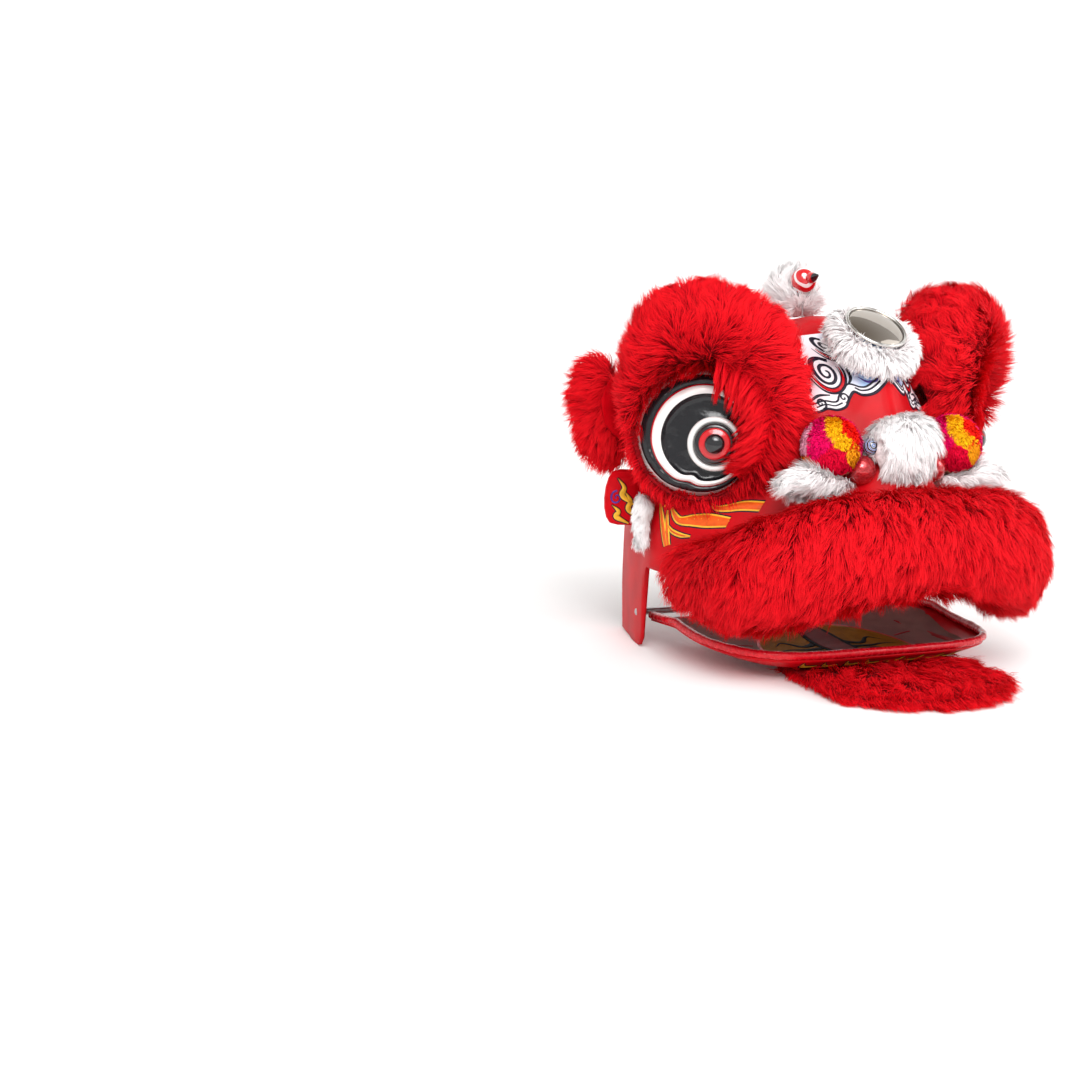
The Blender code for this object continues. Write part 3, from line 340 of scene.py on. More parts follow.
FLOAT, COLOUR = "NodeSocketFloat", "NodeSocketColor"
# The share of a strand's length at which it has its body colour
WAIST = 0.45


def rgba(colour: Sequence[float]) -> tuple[float, float, float, float]:
    """A colour with full cover.

    Args:
        colour: red, green and blue.

    Returns:
        The colour with a cover of 1.
    """
    return (colour[0], colour[1], colour[2], 1.0)


def fill(node: bpy.types.Node, values: dict[str | int, object]) -> None:
    """Sets values on a node's own sockets.

    Args:
        node: the node.
        values: the value of each input.
    """
    for socket, value in values.items():
        node.inputs[socket].default_value = value


@dataclass
class Graph:
    """Shader nodes in the making, in a material, a group or a world."""

    tree: bpy.types.NodeTree

    def add(
        self,
        kind: str,
        feeds: dict[str | int, bpy.types.NodeSocket] | None = None,
        values: dict[str | int, object] | None = None,
        **traits: object,
    ) -> bpy.types.Node:
        """Adds one node.

        Args:
            kind: its type, without the word ShaderNode.
            feeds: the output that feeds each input.
            values: the value of each other input.
            traits: its own settings.

        Returns:
            The node.
        """
        node = self.tree.nodes.new(f"ShaderNode{kind}")
        for name, value in traits.items():
            setattr(node, name, value)
        fill(node, values or {})
        self.feed(node, feeds or {})
        return node

    def feed(self, node: bpy.types.Node, feeds: dict[str | int, bpy.types.NodeSocket]) -> None:
        """Links outputs to a node.

        Args:
            node: the node.
            feeds: the output that feeds each input.
        """
        for socket, output in feeds.items():
            self.tree.links.new(output, node.inputs[socket])

    def place(self) -> bpy.types.NodeSocket:
        """The place on the object.

        Returns:
            The output of its coordinates.
        """
        return self.add("TexCoord").outputs["Object"]

    def ramp(self, source: bpy.types.NodeSocket, stops: Rows, steps: bool = False) -> bpy.types.NodeSocket:
        """Turns a value into a colour.

        Args:
            source: the value.
            stops: position, red, green and blue of each stop, in order.
            steps: whether the colour changes in steps.

        Returns:
            The colour.
        """
        node = self.add("ValToRGB", {0: source})
        bar = node.color_ramp
        bar.interpolation = "CONSTANT" if steps else "LINEAR"
        for element, stop in ((bar.elements[0], stops[0]), (bar.elements[1], stops[-1])):
            element.position = stop[0]
            element.color = rgba(stop[1:])
        for position, *colour in stops[1:-1]:
            bar.elements.new(position).color = rgba(colour)
        return node.outputs[0]

    def dimmed(
        self,
        value: bpy.types.NodeSocket,
        amount: bpy.types.NodeSocket,
        colour: bpy.types.NodeSocket,
        low: float = 0.0,
        high: float = 1.0,
    ) -> bpy.types.NodeSocket:
        """Darkens a colour where a value is low.

        Args:
            value: the value.
            amount: how much darker the colour is at most.
            colour: the colour.
            low: the value at which it is darkest.
            high: the value from which it is itself.

        Returns:
            The darkened colour.
        """
        less = self.add("Math", {1: amount}, {0: 1.0}, operation="SUBTRACT")
        feeds = {"Value": value, "To Min": less.outputs[0]}
        span = self.add("MapRange", feeds, {"From Min": low, "From Max": high})
        return self.add("HueSaturation", {"Value": span.outputs[0], "Color": colour}).outputs[0]

    def bump(
        self, height: bpy.types.NodeSocket, shader: bpy.types.Node, depth: float, strength: float = 1.0
    ) -> None:
        """Feeds relief to a shader.

        Args:
            height: the relief's height.
            shader: the shader.
            depth: the relief's depth in metres.
            strength: its strength.
        """
        node = self.add("Bump", {"Height": height}, {"Distance": depth, "Strength": strength})
        self.feed(shader, {"Normal": node.outputs["Normal"]})


def new_group(
    name: str, inputs: Sequence[tuple[str, str, object]], outputs: Sequence[tuple[str, str]]
) -> tuple[Graph, bpy.types.Node, bpy.types.Node]:
    """A shader node group with named sockets.

    Args:
        name: the group's name.
        inputs: name, kind and first value of each input.
        outputs: name and kind of each output.

    Returns:
        The group's graph, its input node and its output node.
    """
    group = bpy.data.node_groups.new(name, "ShaderNodeTree")
    for label, kind, value in inputs:
        group.interface.new_socket(label, in_out="INPUT", socket_type=kind).default_value = value
    for label, kind in outputs:
        group.interface.new_socket(label, in_out="OUTPUT", socket_type=kind)
    return Graph(group), group.nodes.new("NodeGroupInput"), group.nodes.new("NodeGroupOutput")


def fibre_group() -> bpy.types.NodeTree:
    """Colour along a strand: painted shade dark at its root, painted light bright at its tip, and a little
    its own.

    Returns:
        The group.
    """
    name = "fibre colour"
    if name in bpy.data.node_groups:
        return bpy.data.node_groups[name]
    colours = (("Root", (0.2, 0, 0)), ("Body", (0.7, 0, 0)), ("Tip", (1, 0.1, 0.1)))
    inputs = [(label, COLOUR, rgba(colour)) for label, colour in colours] + [("Variety", FLOAT, 0.3)]
    graph, given, result = new_group(name, inputs, (("Color", COLOUR),))
    strand = graph.add("Attribute", attribute_name="strand")
    parts = graph.add("SeparateColor", {0: strand.outputs["Color"]})
    along = parts.outputs["Green"]
    mixed = given.outputs["Root"]
    for label, edge in (("Body", "From Max"), ("Tip", "From Min")):
        share = graph.add("MapRange", {"Value": along}, {edge: WAIST}).outputs[0]
        mix = graph.add("Mix", {0: share, 6: mixed, 7: given.outputs[label]}, data_type="RGBA")
        mixed = mix.outputs[2]
    graph.feed(result, {"Color": graph.dimmed(parts.outputs["Red"], given.outputs["Variety"], mixed)})
    return graph.tree


def mottle_group() -> bpy.types.NodeTree:
    """Two sizes of mottling in a colour, with the height for a bump.

    Returns:
        The group.
    """
    name = "mottled coat"
    if name in bpy.data.node_groups:
        return bpy.data.node_groups[name]
    inputs = (("Color", COLOUR, (1, 1, 1, 1)), ("Scale", FLOAT, 60.0), ("Amount", FLOAT, 0.15))
    outputs = (("Color", COLOUR), ("Roughness", FLOAT), ("Height", FLOAT))
    graph, given, result = new_group(name, inputs, outputs)
    feeds = {"Vector": graph.place(), "Scale": given.outputs["Scale"]}
    noise = graph.add("TexNoise", feeds, {"Detail": 6.0})
    grain = noise.outputs["Fac"]
    gloss = graph.add("MapRange", {"Value": grain}, {"To Min": 0.18, "To Max": 0.36})
    shade = graph.dimmed(grain, given.outputs["Amount"], given.outputs["Color"], 0.3, 0.7)
    graph.feed(result, {"Color": shade, "Roughness": gloss.outputs[0], "Height": grain})
    return graph.tree


@dataclass(frozen=True)
class Finish:
    """A material that is built once."""

    name: str

    def material(self) -> bpy.types.Material:
        """Gives the material, and builds it the first time.

        Returns:
            The material.
        """
        if self.name not in bpy.data.materials:
            made = bpy.data.materials.new(self.name)
            made.use_nodes = True
            self.mix(Graph(made.node_tree), made.node_tree.nodes["Principled BSDF"])
        return bpy.data.materials[self.name]

    def mix(self, graph: Graph, shader: bpy.types.Node) -> None:
        """Feeds the shader; each kind of finish does it in its own way.

        Args:
            graph: the material's nodes.
            shader: its Principled shader.
        """
        raise NotImplementedError


@dataclass(frozen=True)
class FurFinish(Finish):
    """Dyed long pile, painted darker at the root as shade deep in the fur and brighter at the tip as light.
    """

    root: tuple[float, float, float]
    body: tuple[float, float, float]
    tip: tuple[float, float, float]
    variety: float = 0.25
    roughness: float = 0.70
    sheen: float = 0.05

    def mix(self, graph: Graph, shader: bpy.types.Node) -> None:
        """Feeds the shader with the fibre's colour.

        Args:
            graph: the material's nodes.
            shader: its Principled shader.
        """
        colours = {"Root": rgba(self.root), "Body": rgba(self.body), "Tip": rgba(self.tip)}
        node = graph.add("Group", {}, {**colours, "Variety": self.variety}, node_tree=fibre_group())
        graph.feed(shader, {"Base Color": node.outputs["Color"]})
        fill(shader, {"Base Color": rgba(self.body), "Roughness": self.roughness})
        fill(shader, {"Specular IOR Level": 0.10, "Sheen Weight": self.sheen, "Sheen Tint": rgba(self.tip)})


@dataclass(frozen=True)
class CoatFinish(Finish):
    """Paint, vinyl, metal or board with mottling and fine relief.

    A roughness of 0 takes the mottling's own.
    """

    colour: tuple[float, float, float]
    scale: float = 60.0
    amount: float = 0.12
    roughness: float = 0.0
    metallic: float = 0.0
    coat: float = 0.0
    relief: float = 0.0004
    specular: float = 0.22

    def mix(self, graph: Graph, shader: bpy.types.Node) -> None:
        """Feeds the shader with the mottled coat.

        Args:
            graph: the material's nodes.
            shader: its Principled shader.
        """
        values = {"Color": rgba(self.colour), "Scale": self.scale, "Amount": self.amount}
        node = graph.add("Group", {}, values, node_tree=mottle_group())
        graph.feed(shader, {"Base Color": node.outputs["Color"]})
        fill(shader, {"Base Color": rgba(self.colour), "Metallic": self.metallic, "Coat Weight": self.coat})
        fill(shader, {"Coat Roughness": 0.06, "Specular IOR Level": 0.5 if self.metallic else self.specular})
        if self.roughness:
            fill(shader, {"Roughness": self.roughness})
        else:
            graph.feed(shader, {"Roughness": node.outputs["Roughness"]})
        if self.relief:
            graph.bump(node.outputs["Height"], shader, self.relief)


# The piles' root colours are painted shade deep in the fur (pink on the white pile), and their tip colours
# are painted light.
RED_PILE = FurFinish("red pile", (0.24, 0.0, 0.003), (0.76, 0.001, 0.009), (0.98, 0.010, 0.018), 0.18)
WHITE_PILE = FurFinish("white pile", (0.86, 0.78, 0.79), (0.98, 0.95, 0.95), (1.0, 0.99, 0.99), variety=0.08)
# The backings are darker than their pile, as painted shade under the fur.
SHADED_RED_BACKING = CoatFinish("red backing in painted shade", (0.30, 0.0, 0.004), 220.0, 0.5, roughness=0.95)
SHADED_WHITE_BACKING = CoatFinish("white backing in painted shade", (0.86, 0.78, 0.78), 220.0, 0.4, roughness=0.95)
RED_PAINT = CoatFinish(
    "red shell paint", (0.56, 0.001, 0.006), 26.0, 0.25, roughness=0.45, coat=0.04, specular=0.10
)
INK = CoatFinish("ink black paint", (0.010, 0.006, 0.022), 160.0, 0.3, roughness=0.40)
SNOW = CoatFinish("white paint", (0.90, 0.88, 0.92), 90.0, 0.08, roughness=0.35)
FLAME = CoatFinish("flame orange paint", (0.90, 0.12, 0.012), 120.0, 0.30, roughness=0.35)
GOLD = CoatFinish("gold yellow paint", (0.95, 0.52, 0.04), 140.0, 0.25, roughness=0.32)
VIOLET = CoatFinish("violet paint", (0.10, 0.05, 0.34), 120.0, 0.3, roughness=0.35)
SCARLET = CoatFinish(
    "scarlet paint", (0.62, 0.001, 0.007), 60.0, 0.2, roughness=0.40, coat=0.05, specular=0.12
)
# The leaf's mustard, darkened as painted shade inside the mouth.
SHADED_MUSTARD = CoatFinish("mustard paint in painted shade", (0.38, 0.15, 0.005), 50.0, 0.35, roughness=0.6, specular=0.03)
OXBLOOD = CoatFinish("oxblood paint", (0.20, 0.001, 0.004), 60.0, 0.3, roughness=0.55, specular=0.06)
# The teeth's pale paint, darkened as painted shade inside the mouth.
SHADED_TOOTH = CoatFinish("tooth paint in painted shade", (0.33, 0.165, 0.15), 40.0, 0.22, roughness=0.6, specular=0.03)
LINE = CoatFinish("mouth line paint", (0.008, 0.005, 0.008), 120.0, 0.3, roughness=0.6, specular=0.03)
GUM = CoatFinish("gum paint", (0.42, 0.001, 0.006), 60.0, 0.25, roughness=0.50, specular=0.08)
VINYL = CoatFinish("red vinyl", (0.78, 0.006, 0.018), 180.0, 0.30, coat=0.35, relief=0.0012)
BOARD = CoatFinish("painted board", (0.20, 0.010, 0.012), 80.0, 0.4, roughness=0.55)
STEEL = CoatFinish("steel wire", (0.52, 0.52, 0.53), 300.0, 0.25, roughness=0.30, metallic=1.0)
CHROME = CoatFinish("chrome rim", (0.70, 0.68, 0.65), 90.0, 0.12, roughness=0.10, metallic=1.0, relief=0.0)
MIRROR = CoatFinish("domed mirror", (0.50, 0.45, 0.40), 12.0, 0.10, roughness=0.05, metallic=1.0, relief=0.0)
BLACK_GLOSS = CoatFinish("black gloss", (0.010, 0.010, 0.012), 70.0, 0.4, roughness=0.08, coat=1.0)
WHITE_GLOSS = CoatFinish("white gloss", (0.86, 0.84, 0.82), 50.0, 0.10, roughness=0.15, coat=0.8)
RED_GLOSS = CoatFinish("red gloss", (0.60, 0.004, 0.010), 60.0, 0.2, roughness=0.12, coat=1.0)


def dress(piece: bpy.types.Object, finish: Finish, body: Body, slot: str, *nodes: str) -> bpy.types.Object:
    """Gives a piece its finish, its body and the nodes it stands for.

    Args:
        piece: the piece.
        finish: its finish.
        body: the body that it rides on.
        slot: the record's material slot; not used.
        nodes: the CAD nodes that it replaces.

    Returns:
        The piece.
    """
    piece.data.materials.clear()
    piece.data.materials.append(finish.material())
    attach(piece, body.value)
    if nodes:
        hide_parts(*nodes)
    log.info("%s: %d faces", piece.name, len(piece.data.polygons))
    return piece


# Fur


def skin_of(name: str, node: str, voxel: float, inset: float, rounds: int) -> bpy.types.Object:
    """The backing of a fur: a smooth copy of its solid, drawn in by the depth of the pile.

    Args:
        name: the new piece's name.
        node: the CAD node.
        voxel: how fine it is, in metres.
        inset: how far it is drawn in.
        rounds: how often it is smoothed.

    Returns:
        The backing.
    """
    skin = linked(name, frame["nodes"][node].data.copy())
    tidy_mesh(skin)
    mesh = skin.modifiers.new("cells", "REMESH")
    mesh.mode = "VOXEL"
    mesh.voxel_size = voxel
    soft = skin.modifiers.new("soft", "SMOOTH")
    soft.iterations = rounds
    drawn = skin.modifiers.new("drawn in", "DISPLACE")
    drawn.mid_level = 0.0
    drawn.strength = -inset
    again = skin.modifiers.new("soft again", "SMOOTH")
    again.iterations = 4
    apply_all(skin)
    bpy.ops.object.shade_smooth()
    return skin


def read_rows(mesh: bpy.types.Mesh, what: str) -> np.ndarray:
    """Reads something of each point of a mesh.

    Args:
        mesh: the mesh.
        what: the points' co or normal.

    Returns:
        One row of three numbers for each point.
    """
    rows = np.empty(len(mesh.vertices) * 3)
    mesh.vertices.foreach_get(what, rows)
    return rows.reshape(-1, 3)


@dataclass
class Pile:
    """Strands of fur on a backing, combed, clumped and drooping.

    comb gives the direction that the hair lies in at each root. drape is for hair that falls free of
    the backing, in the direction that it gives.
    """

    name: str
    count: int
    length: float
    comb: Field
    finish: FurFinish = RED_PILE
    thick: float = 0.00098
    upright: float = 0.55
    droop: float = 0.25
    ruffle: float = 0.35
    per_lock: float = 16.0
    toss: float = 0.10
    pull: float = 0.55
    seed: int = 1
    keep: Field | None = None
    drape: Field | None = None

    def roots(
        self, skin: bpy.types.Object, walls: BVHTree | None, rng: np.random.Generator
    ) -> tuple[np.ndarray, np.ndarray]:
        """Chooses the roots, away from faces that a wall hides.

        Args:
            skin: the backing.
            walls: what the fur lies against.
            rng: the seeded source of chance.

        Returns:
            Root points and the backing's normals there.
        """
        mesh = skin.data
        mesh.calc_loop_triangles()
        points, normals = (read_rows(mesh, what) for what in ("co", "normal"))
        corners = np.empty(len(mesh.loop_triangles) * 3, np.int32)
        mesh.loop_triangles.foreach_get("vertices", corners)
        corners = corners.reshape(-1, 3)
        a, b, c = (points[corners[:, k]] for k in range(3))
        area = np.linalg.norm(np.cross(b - a, c - a), axis=1)
        middle = (a + b + c) / 3
        facing = unit(normals[corners].sum(axis=1))
        if walls is not None:
            reach = max(0.022, self.length * 0.8)
            for i, (p, n) in enumerate(zip(middle, facing)):
                if walls.ray_cast(Vector(p), Vector(n), reach)[0] is not None:
                    area[i] = 0.0
        if self.keep is not None:
            area = area * self.keep(middle)
        pick = rng.choice(len(area), self.count, p=area / area.sum())
        first = np.sqrt(rng.random(self.count))[:, None]
        second = rng.random(self.count)[:, None]
        shares = (1 - first, first * (1 - second), first * second)
        root = sum(share * points[corners[pick, k]] for k, share in enumerate(shares))
        normal = unit(sum(share * normals[corners[pick, k]] for k, share in enumerate(shares)))
        return root, normal

    def grow(self, skin: bpy.types.Object, walls: BVHTree | None = None) -> bpy.types.Object:
        """Grows the strands as ribbons of three triangles.

        Args:
            skin: the backing.
            walls: what the fur lies against.

        Returns:
            The pile.
        """
        rng = np.random.default_rng(self.seed)
        root, normal = self.roots(skin, walls, rng)
        comb = self.comb(root)
        flat = unit(comb - (comb * normal).sum(1, keepdims=True) * normal)
        waves = np.sin(root @ (61.0, 37.0, 83.0)) + np.sin(root @ (-97.0, 71.0, 29.0))
        sway = self.ruffle * (waves + rng.normal(0, 0.5, self.count))
        across = np.cross(normal, flat)
        flat = flat * np.cos(sway)[:, None] + across * np.sin(sway)[:, None]
        rise = self.upright + rng.normal(0, 0.10, self.count)[:, None]
        first = unit(normal * rise + flat * (1 - self.upright))
        down = np.array((0.0, 0.0, -1.0))
        loose = rng.normal(0, 0.12, (self.count, 3))
        second = unit(normal * rise * 0.45 + flat * (1.1 - self.upright * 0.5) + down * self.droop + loose)
        if self.drape is not None:
            first = unit(normal * 0.35 + self.drape(root))
            second = unit(self.drape(root) + down * self.droop + loose)
        size = (self.length * (0.72 + 0.42 * rng.random(self.count)))[:, None]
        base = root - normal * 0.001
        middle = base + first * size * 0.5
        tip = middle + second * size * 0.5
        shade = self.gather(root, middle, tip, rng)
        tip[:, 2] = np.maximum(tip[:, 2], LOWEST_TIP)
        middle[:, 2] = np.maximum(middle[:, 2], LOWEST_MIDDLE)
        return self.ribbons(base, middle, tip, normal, shade, rng)

    def gather(
        self, root: np.ndarray, middle: np.ndarray, tip: np.ndarray, rng: np.random.Generator
    ) -> np.ndarray:
        """Draws neighbouring strands together into locks.

        Args:
            root: the strands' roots.
            middle: their middles, which are moved.
            tip: their tips, which are moved.
            rng: the seeded source of chance.

        Returns:
            The brightness of each strand's lock, from 0 to 1.
        """
        locks = max(40, int(self.count / self.per_lock))
        chosen = rng.choice(self.count, min(locks, self.count), replace=False)
        tree = KDTree(len(chosen))
        for k, i in enumerate(chosen):
            tree.insert(Vector(root[i]), k)
        tree.balance()
        label = np.array([tree.find(Vector(p))[1] for p in root])
        amount = np.bincount(label, minlength=len(chosen))[:, None]
        lean = rng.normal(0, self.length * self.toss, (len(chosen), 3))[label]
        tip += lean
        middle += lean * 0.3
        for moved, share in ((tip, self.pull), (middle, self.pull * 0.35)):
            total = np.stack([np.bincount(label, moved[:, k], len(chosen)) for k in range(3)], axis=1)
            mean = total / np.maximum(amount, 1)
            moved += (mean[label] - moved) * (share * (0.6 + 0.6 * rng.random(self.count)))[:, None]
        return rng.random(len(chosen))[label]

    def ribbons(
        self,
        base: np.ndarray,
        middle: np.ndarray,
        tip: np.ndarray,
        normal: np.ndarray,
        shade: np.ndarray,
        rng: np.random.Generator,
    ) -> bpy.types.Object:
        """Makes the mesh of the strands.

        Args:
            base: where each strand starts.
            middle: its middle.
            tip: its end.
            normal: the backing's normal at its root.
            shade: the brightness of its lock.
            rng: the seeded source of chance.

        Returns:
            The pile as one mesh, with its strand attribute and its own normals.
        """
        count = self.count
        along = unit(tip - base)
        side = unit(np.cross(along, normal) + rng.normal(0, 0.35, (count, 3)))
        half = (self.thick / 2 * (0.7 + 0.6 * rng.random(count)))[:, None]
        low, high = side * half, side * half * 0.85
        points = np.stack((base - low, base + low, middle - high, middle + high, tip), 1).reshape(-1, 3)
        corners = np.array((0, 1, 3, 0, 3, 2, 2, 3, 4))
        loops = (np.arange(count)[:, None] * 5 + corners).ravel()
        mesh = bpy.data.meshes.new(self.name)
        mesh.vertices.add(count * 5)
        mesh.vertices.foreach_set("co", points.ravel())
        mesh.loops.add(len(loops))
        mesh.loops.foreach_set("vertex_index", loops)
        mesh.polygons.add(count * 3)
        mesh.polygons.foreach_set("loop_start", np.arange(count * 3) * 3)
        mesh.polygons.foreach_set("use_smooth", np.ones(count * 3, bool))
        mesh.update()
        strand = mesh.attributes.new("strand", "FLOAT_COLOR", "POINT")
        values = np.ones((count, 5, 4), np.float32)
        values[:, :, 0] = (0.55 * rng.random(count) + 0.45 * shade)[:, None]
        # The share along the strand, which gives the root its painted shade and the tip its painted light.
        values[:, :, 1] = (0.0, 0.0, 0.55, 0.55, 1.0)
        values[:, :, 2] = shade[:, None]
        strand.data.foreach_set("color", values.ravel())
        cells = math.ceil(math.sqrt(count))
        cell = np.stack((np.arange(count) % cells, np.arange(count) // cells), 1)
        inner = np.array(((0.1, 0.1), (0.1, 0.9), (0.5, 0.1), (0.5, 0.9), (0.9, 0.5)))
        spots = ((cell[:, None, :] + inner) / cells).reshape(-1, 2)[loops]
        mesh.uv_layers.new(name="OFBake").uv.foreach_set("vector", spots.astype(np.float32).ravel())
        soft = unit(normal + 0.35 * unit(np.cross(side, along)) + rng.normal(0, 0.22, (count, 3)))
        lean = np.repeat(soft, 5, axis=0)
        mesh.normals_split_custom_set_from_vertices(lean.tolist())
        return linked(self.name, mesh)


def away_from(
    middle: Sequence[float], pull: Sequence[float] = (0, 0, 0), stretch: Sequence[float] = (1, 1, 1)
) -> Field:
    """A combing direction that runs away from a point.

    Args:
        middle: the point, in metres.
        pull: a steady direction that is added.
        stretch: how much each axis counts.

    Returns:
        The field.
    """

    def field(points: np.ndarray) -> np.ndarray:
        """The combing direction at each point.

        Args:
            points: the points.

        Returns:
            One direction for each.
        """
        return unit((points - np.array(middle)) * np.array(stretch)) + np.array(pull)

    return field


@dataclass
class FurCoat:
    """Every fur of the head, each with its backing."""

    walls: BVHTree
    brow_strands: int = 38000
    fringe_strands: int = 5000
    lip_strands: int = 35500
    beard_strands: int = 24000
    ear_strands: int = 9000

    def fur(
        self,
        node: str,
        pile: Pile,
        body: Body,
        slot: str,
        voxel: float,
        inset: float,
        rounds: int = 14,
        split: bool = False,
    ) -> None:
        """Makes one fur from its solid.

        Args:
            node: the CAD node that it stands for.
            pile: its strands.
            body: the body that it rides on.
            slot: the record's material slot.
            voxel: how fine its backing is.
            inset: how deep its pile is.
            rounds: how smooth its backing is.
            split: whether it is grown as two halves.
        """
        # The backing's darker colour is painted shade at the foot of the pile.
        hide = SHADED_RED_BACKING if slot == "red_fur" else SHADED_WHITE_BACKING
        skin = skin_of(node.replace("_fur", "") + "_backing", node, voxel, inset, rounds)
        if node == "mirror_fur":
            ForeheadMirror().draw_in(skin)
        dress(skin, hide, body, slot, node)
        if not split:
            dress(pile.grow(skin, self.walls), pile.finish, body, slot)
            return
        name = pile.name
        for side, ending in SIDES:
            pile.name = f"{name}_{ending}"
            pile.keep = lambda p, side=side: (p[:, 0] * side > 0).astype(float)
            pile.seed += side
            dress(pile.grow(skin, self.walls), pile.finish, body, slot)

    def brows(self) -> None:
        """The thick fur round each eye."""
        for side, ending in SIDES:
            middle = (side * 0.215, 0.075, 0.305)
            pile = Pile(
                f"brow_pile_{ending}",
                self.brow_strands,
                0.034,
                away_from(middle, (0, 0, -0.35)),
                seed=11 + side,
                droop=0.30,
                upright=0.50,
            )
            self.fur(f"brow_fur_{ending}", pile, Body.HEAD, "red_fur", 0.0065, 0.012)
            self.fringe(side, ending)

    def fringe(self, side: int, ending: str) -> None:
        """Long hair that falls from the brow's inner and upper edge over the eye.

        Args:
            side: -1 on the left and 1 on the right.
            ending: the side's name.
        """
        eye = Eye(side, ending).frame()
        centre = np.array(eye.translation)
        inner, upward, out = (np.array(eye.to_3x3().col[k]) for k in range(3))
        upward = upward * (1 if side < 0 else -1)

        def rim(points: np.ndarray) -> np.ndarray:
            """Whether a point lies on the fringe's stretch of the opening.

            Args:
                points: the points.

            Returns:
                1 where it does, else 0.
            """
            away = points - centre
            across, up, high = away @ inner, away @ upward, away @ out
            radius = np.hypot(across, up)
            angle = np.degrees(np.arctan2(up, across))
            near = np.interp(angle, (-60.0, 0.0, 60.0, 100.0), (0.074, 0.082, 0.112, 0.128))
            return ((angle > -50) & (angle < 92) & (radius < near) & (high > 0.012)).astype(float)

        def comb(points: np.ndarray) -> np.ndarray:
            """Inward over the plate.

            Args:
                points: the points.

            Returns:
                One direction for each.
            """
            return unit(centre + out * 0.055 - points)

        pile = Pile(
            f"brow_fringe_{ending}",
            self.fringe_strands,
            0.050,
            comb,
            droop=0.65,
            seed=21 + side,
            pull=0.7,
            per_lock=22.0,
            keep=rim,
            drape=comb,
        )
        skin = bpy.data.objects[f"brow_{ending}_backing"]
        dress(pile.grow(skin), pile.finish, Body.HEAD, "red_fur")

    def lip(self) -> None:
        """The big roll of the upper lip."""
        comb = away_from((0, 0.02, 0.24), (0, 0, -0.55))
        pile = Pile("lip_pile", self.lip_strands, 0.034, comb, seed=31, droop=0.35, upright=0.50)
        self.fur("upper_lip_fur", pile, Body.HEAD, "red_fur", 0.0075, 0.012, split=True)

    def beard(self) -> None:
        """The fan of fur under the jaw."""
        pile = Pile(
            "beard_pile",
            self.beard_strands,
            0.036,
            away_from((0, 0.01, 0.02), (0, -0.25, 0), (0.8, 1, 0.1)),
            seed=41,
            droop=0.25,
            upright=0.30,
            ruffle=0.45,
            pull=0.7,
        )
        self.fur("beard_fur", pile, Body.JAW, "red_fur", 0.0070, 0.011)

    def ears(self) -> None:
        """The two ears."""
        for side, ending in SIDES:
            pile = Pile(
                f"ear_pile_{ending}",
                self.ear_strands,
                0.032,
                away_from((side * 0.235, 0.20, 0.345), (0, 0, -0.25)),
                seed=51 + side,
                upright=0.35,
                droop=0.25,
                pull=0.75,
            )
            body = Body.EAR_LEFT if side < 0 else Body.EAR_RIGHT
            self.fur(f"ear_fur_{ending}", pile, body, "red_fur", 0.0045, 0.009, 8)

    @staticmethod
    def clear_of_nostrils(points: np.ndarray) -> np.ndarray:
        """Keeps the hair off the nostrils and the knobs over them.

        Args:
            points: where the hair would start.

        Returns:
            1 where it may grow, and 0 elsewhere.
        """
        nose = Nose()
        clear = (points[:, 1] < HEAD_Y - 0.108).astype(float)
        for side, _ in SIDES:
            for (x, y, z), radius in ((nose.nostril, 0.030), (nose.knob, 0.021)):
                away = points - np.array((side * x, y + HEAD_Y - 0.012, z))
                clear[np.linalg.norm(away, axis=1) < radius] = 0.0
        return clear

    def whites(self) -> None:
        """The nose, moustache, mirror ring, horn tuft and cheek strips."""
        nose = away_from((0, -0.02, 0.355), (0, -0.2, -0.3), (2.2, 1, 1))
        mirror = away_from((0, -0.002, 0.466))
        horn = away_from((0, 0.180, 0.470), (0, 0, 0.2))
        middle = (
            # node, pile, strands, length, combing, upright, droop
            ("nose_fur", "nose_pile", 10500, 0.026, nose, 0.35, 0.35),
            ("mirror_fur", "mirror_pile", 9500, 0.019, mirror, 0.45, 0.10),
            ("horn_fur", "horn_pile", 7000, 0.030, horn, 0.55, 0.05),
        )
        for node, name, count, length, comb, upright, droop in middle:
            pile = Pile(name, count, length, comb, WHITE_PILE, upright=upright, droop=droop, seed=len(name))
            pile.pull = 0.5
            if node == "nose_fur":
                pile.keep = self.clear_of_nostrils
            self.fur(node, pile, Body.HEAD, "white_fur", 0.0042, 0.006, 8)
        for side, ending in SIDES:
            cheek = away_from((side * 0.085, -0.06, 0.285), (side * 0.3, 0, -0.25))
            strip = away_from((side * 0.25, 0.13, 0.26), (side * 0.2, 0, -1.0))
            sides = (
                # node, pile, strands, length, combing, droop, seed, voxel, inset, rounds
                ("moustache", "moustache_pile", 5500, 0.027, cheek, 0.25, 71, 0.0038, 0.005, 6),
                ("cheek_strip", "strip_pile", 3600, 0.018, strip, 0.5, 81, 0.0030, 0.003, 5),
            )
            for node, name, count, length, comb, droop, seed, *backing in sides:
                pile = Pile(f"{name}_{ending}", count, length, comb, WHITE_PILE, upright=0.35, droop=droop)
                pile.seed = seed + side
                self.fur(f"{node}_{ending}", pile, Body.HEAD, "white_fur", *backing)


# Shell


